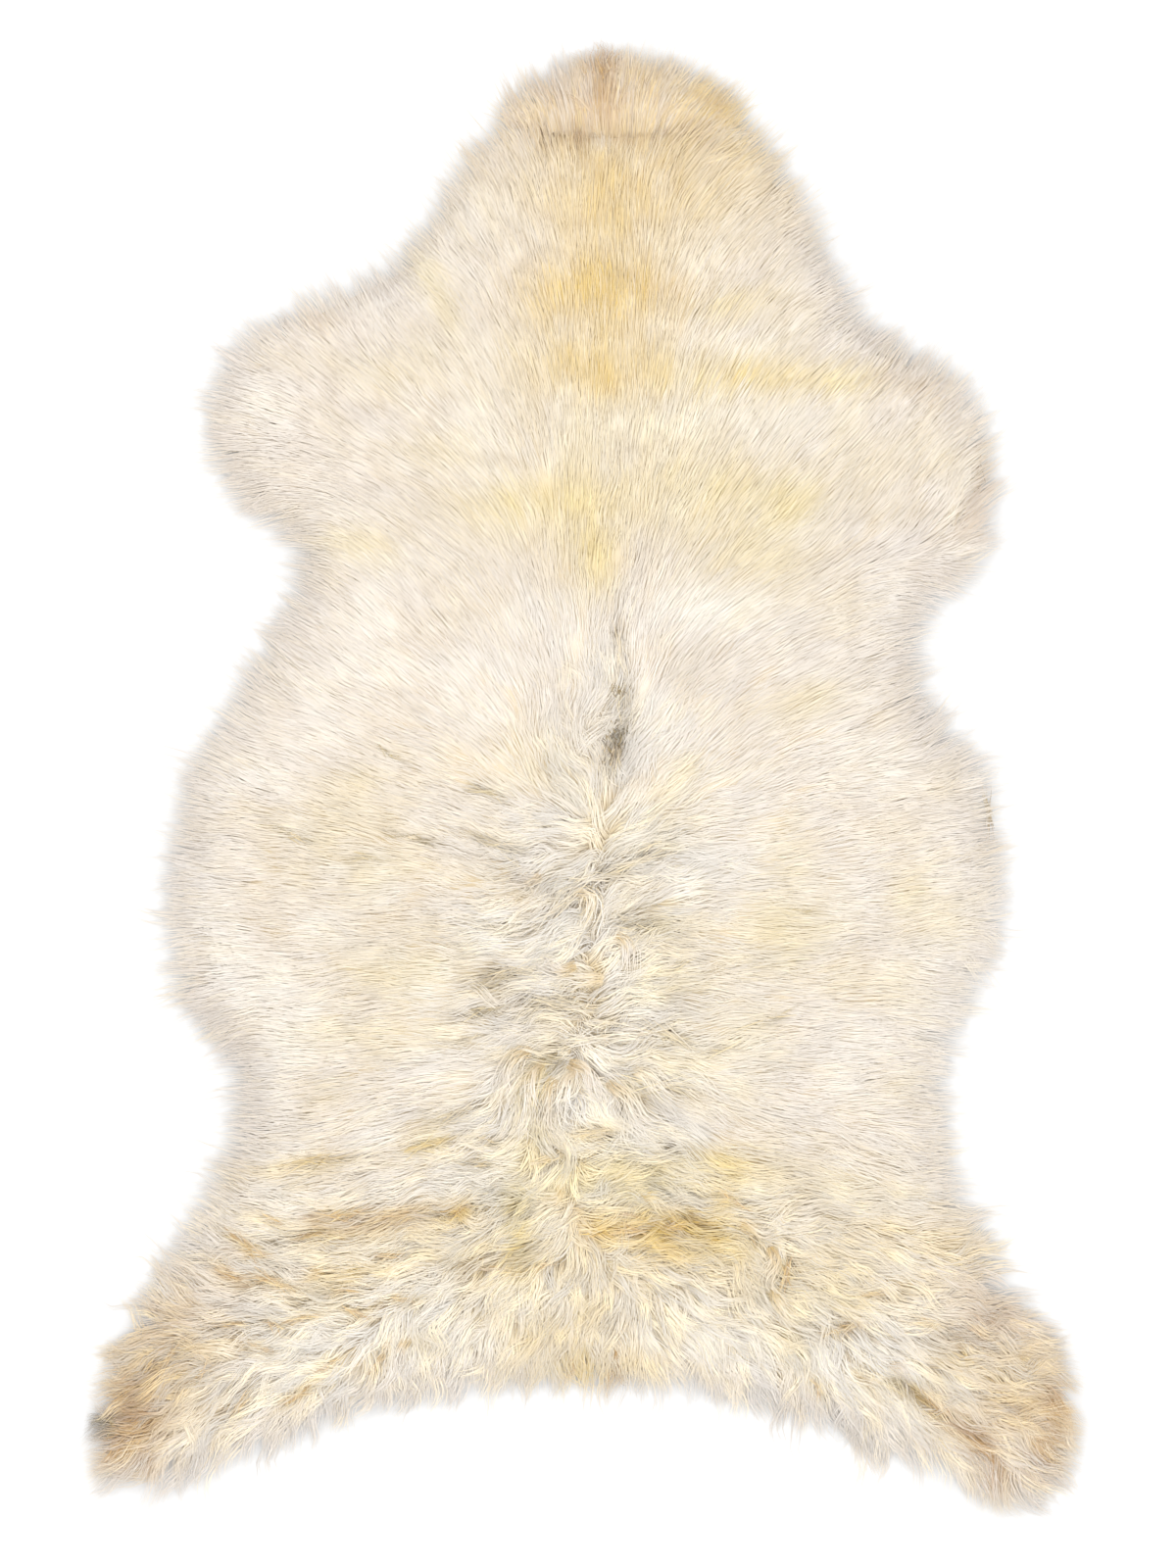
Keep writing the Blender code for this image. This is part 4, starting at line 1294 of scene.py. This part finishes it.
def build_fleece(maps, material):
    """The body of the wool under its top strands, in the colours that the wool has there, in a deeper tone
    and darkened in its creases, both painted shade.
    """

    def top(place):
        share = FLEECE_SHARE - FLEECE_SINK * np.minimum(sample(maps["curl"], place) * 1.3, 1.0) ** 2
        share = share - FLEECE_RIM_SINK * smooth_step((sample(maps["outside"], place) + 60.0) / 40.0)
        creased = FLEECE_IN_CREASES * sample(maps["pressed"], place)
        return np.maximum(sample(maps["height"], place) * share - creased, HIDE_THICKNESS + 2.0)

    mesh = plan_body("fleece", FLEECE_GRID, FLEECE_ACROSS, FLEECE_ALONG, top, level(HIDE_THICKNESS))
    place = np.array([v.co[:2] for v in mesh.vertices]) / MM
    curl = sample(maps["curl"], place)
    half = np.full(len(place), 0.5)
    stains_and_painted_light = sample(maps["stains_and_painted_light"], place)
    # Painted shade in the creases: grey, and rust below BROWN_FROM_Y, as strong as the crease is deep
    crease_shade = np.clip(sample(maps["pressed"], place) / GAP_DEPTH, 0.0, 1.0)
    crease_shade *= smooth_step((BELOW_NECK_LINE - place[:, 1]) / 10.0)
    low = smooth_step((BROWN_FROM_Y - place[:, 1]) / BROWN_OVER)
    for name, share in (("grey", 1.0 - 0.6 * low), ("rust", 0.5 * low)):
        index = STAIN_AND_PAINTED_LIGHT_NAMES.index(name)
        stains_and_painted_light[:, index] = np.maximum(stains_and_painted_light[:, index], crease_shade * share)
    wool_attributes(mesh, np.stack([FLEECE_TONE - 0.3 * curl, half, half, curl], axis=-1), stains_and_painted_light)
    return place_piece("fleece", mesh, material)


def build_wool(maps, material, rng):
    """The pieces of wool: the loose ones first, then the rug's own locks, band by band."""
    locks = grow_locks(maps, scatter_roots(maps, rng), 0.0, rng)
    fill = grow_locks(maps, bare_places(maps, locks), BARE_STRAY, rng)
    locks = {name: np.concatenate([locks[name], fill[name]]) for name in locks}
    middle_y = locks["path"][:, LOCK_STEPS // 3, 1]
    ends = [band.below_y for band in BANDS[1:]] + [-REACH_Y]
    loose = [grow_tufts(rng), grow_ringlets(maps, rng), grow_gap_hairs(maps, rng)]
    pieces = [place_piece("wool_tufts", wool_mesh("wool_tufts", loose), material)]
    for band, end in zip(BANDS, ends):
        in_band = (middle_y <= band.below_y) & (middle_y > end)
        kinds = []
        for kind, next_curl in zip(KINDS, [k.curl_from for k in KINDS[1:]] + [2.0]):
            of_kind = (locks["curl"] >= kind.curl_from) & (locks["curl"] < next_curl)
            members = np.flatnonzero(in_band & of_kind)
            if len(members):
                kinds.append(grow_strands(maps, locks, members, kind, rng))
        pieces.append(place_piece(band.name, wool_mesh(band.name, kinds), material))
    return pieces


def make_floor():
    mesh = bpy.data.meshes.new("floor")
    corners = [(x * FLOOR_HALF, y * FLOOR_HALF, 0.0) for x, y in ((-1, -1), (1, -1), (1, 1), (-1, 1))]
    mesh.from_pydata(corners, [], [(0, 1, 2, 3)])
    floor = bpy.data.objects.new("floor", mesh)
    bpy.context.scene.collection.objects.link(floor)
    material, tree, shader = new_material("floor", 0.9)
    shader.inputs["Base Color"].default_value = grey(FLOOR_GREY)
    mesh.materials.append(material)


def make_camera():
    data = bpy.data.cameras.new("camera")
    data.lens = data.sensor_width * CAMERA_DISTANCE / PICTURE_HEIGHT
    camera = bpy.data.objects.new("camera", data)
    camera.location = PICTURE_CENTRE + Vector((0, 0, WOOL_LEVEL + CAMERA_DISTANCE))
    bpy.context.scene.collection.objects.link(camera)
    bpy.context.scene.camera = camera


def make_light(name, place, size, power):
    """A round lamp that shines towards the middle of the rug."""
    data = bpy.data.lights.new(name, "AREA")
    data.shape = "DISK"
    data.size = size
    data.energy = power
    light = bpy.data.objects.new(name, data)
    light.location = place
    light.rotation_euler = (-Vector(place)).to_track_quat("-Z", "Y").to_euler()
    bpy.context.scene.collection.objects.link(light)


def make_lights():
    for light in LIGHTS:
        make_light(*light)
    world = bpy.data.worlds.new("studio")
    world.use_nodes = True
    world.node_tree.nodes["Background"].inputs["Color"].default_value = (1, 1, 1, 1)
    world.node_tree.nodes["Background"].inputs["Strength"].default_value = ROOM_LIGHT
    bpy.context.scene.world = world
    bpy.context.scene.view_settings.view_transform = "Standard"


def main():
    rng = np.random.default_rng(SEED)
    maps = make_maps()
    maps["flow"], maps["curl"] = comb_flow(maps)
    maps["pressed"] = press_creases(maps)
    maps["stains_and_painted_light"] = lay_stains_and_painted_light(maps)
    hide = build_hide()
    material = wool_material()
    wool = [build_fleece(maps, material)] + build_wool(maps, material, rng)
    make_floor()
    make_camera()
    make_lights()


main()
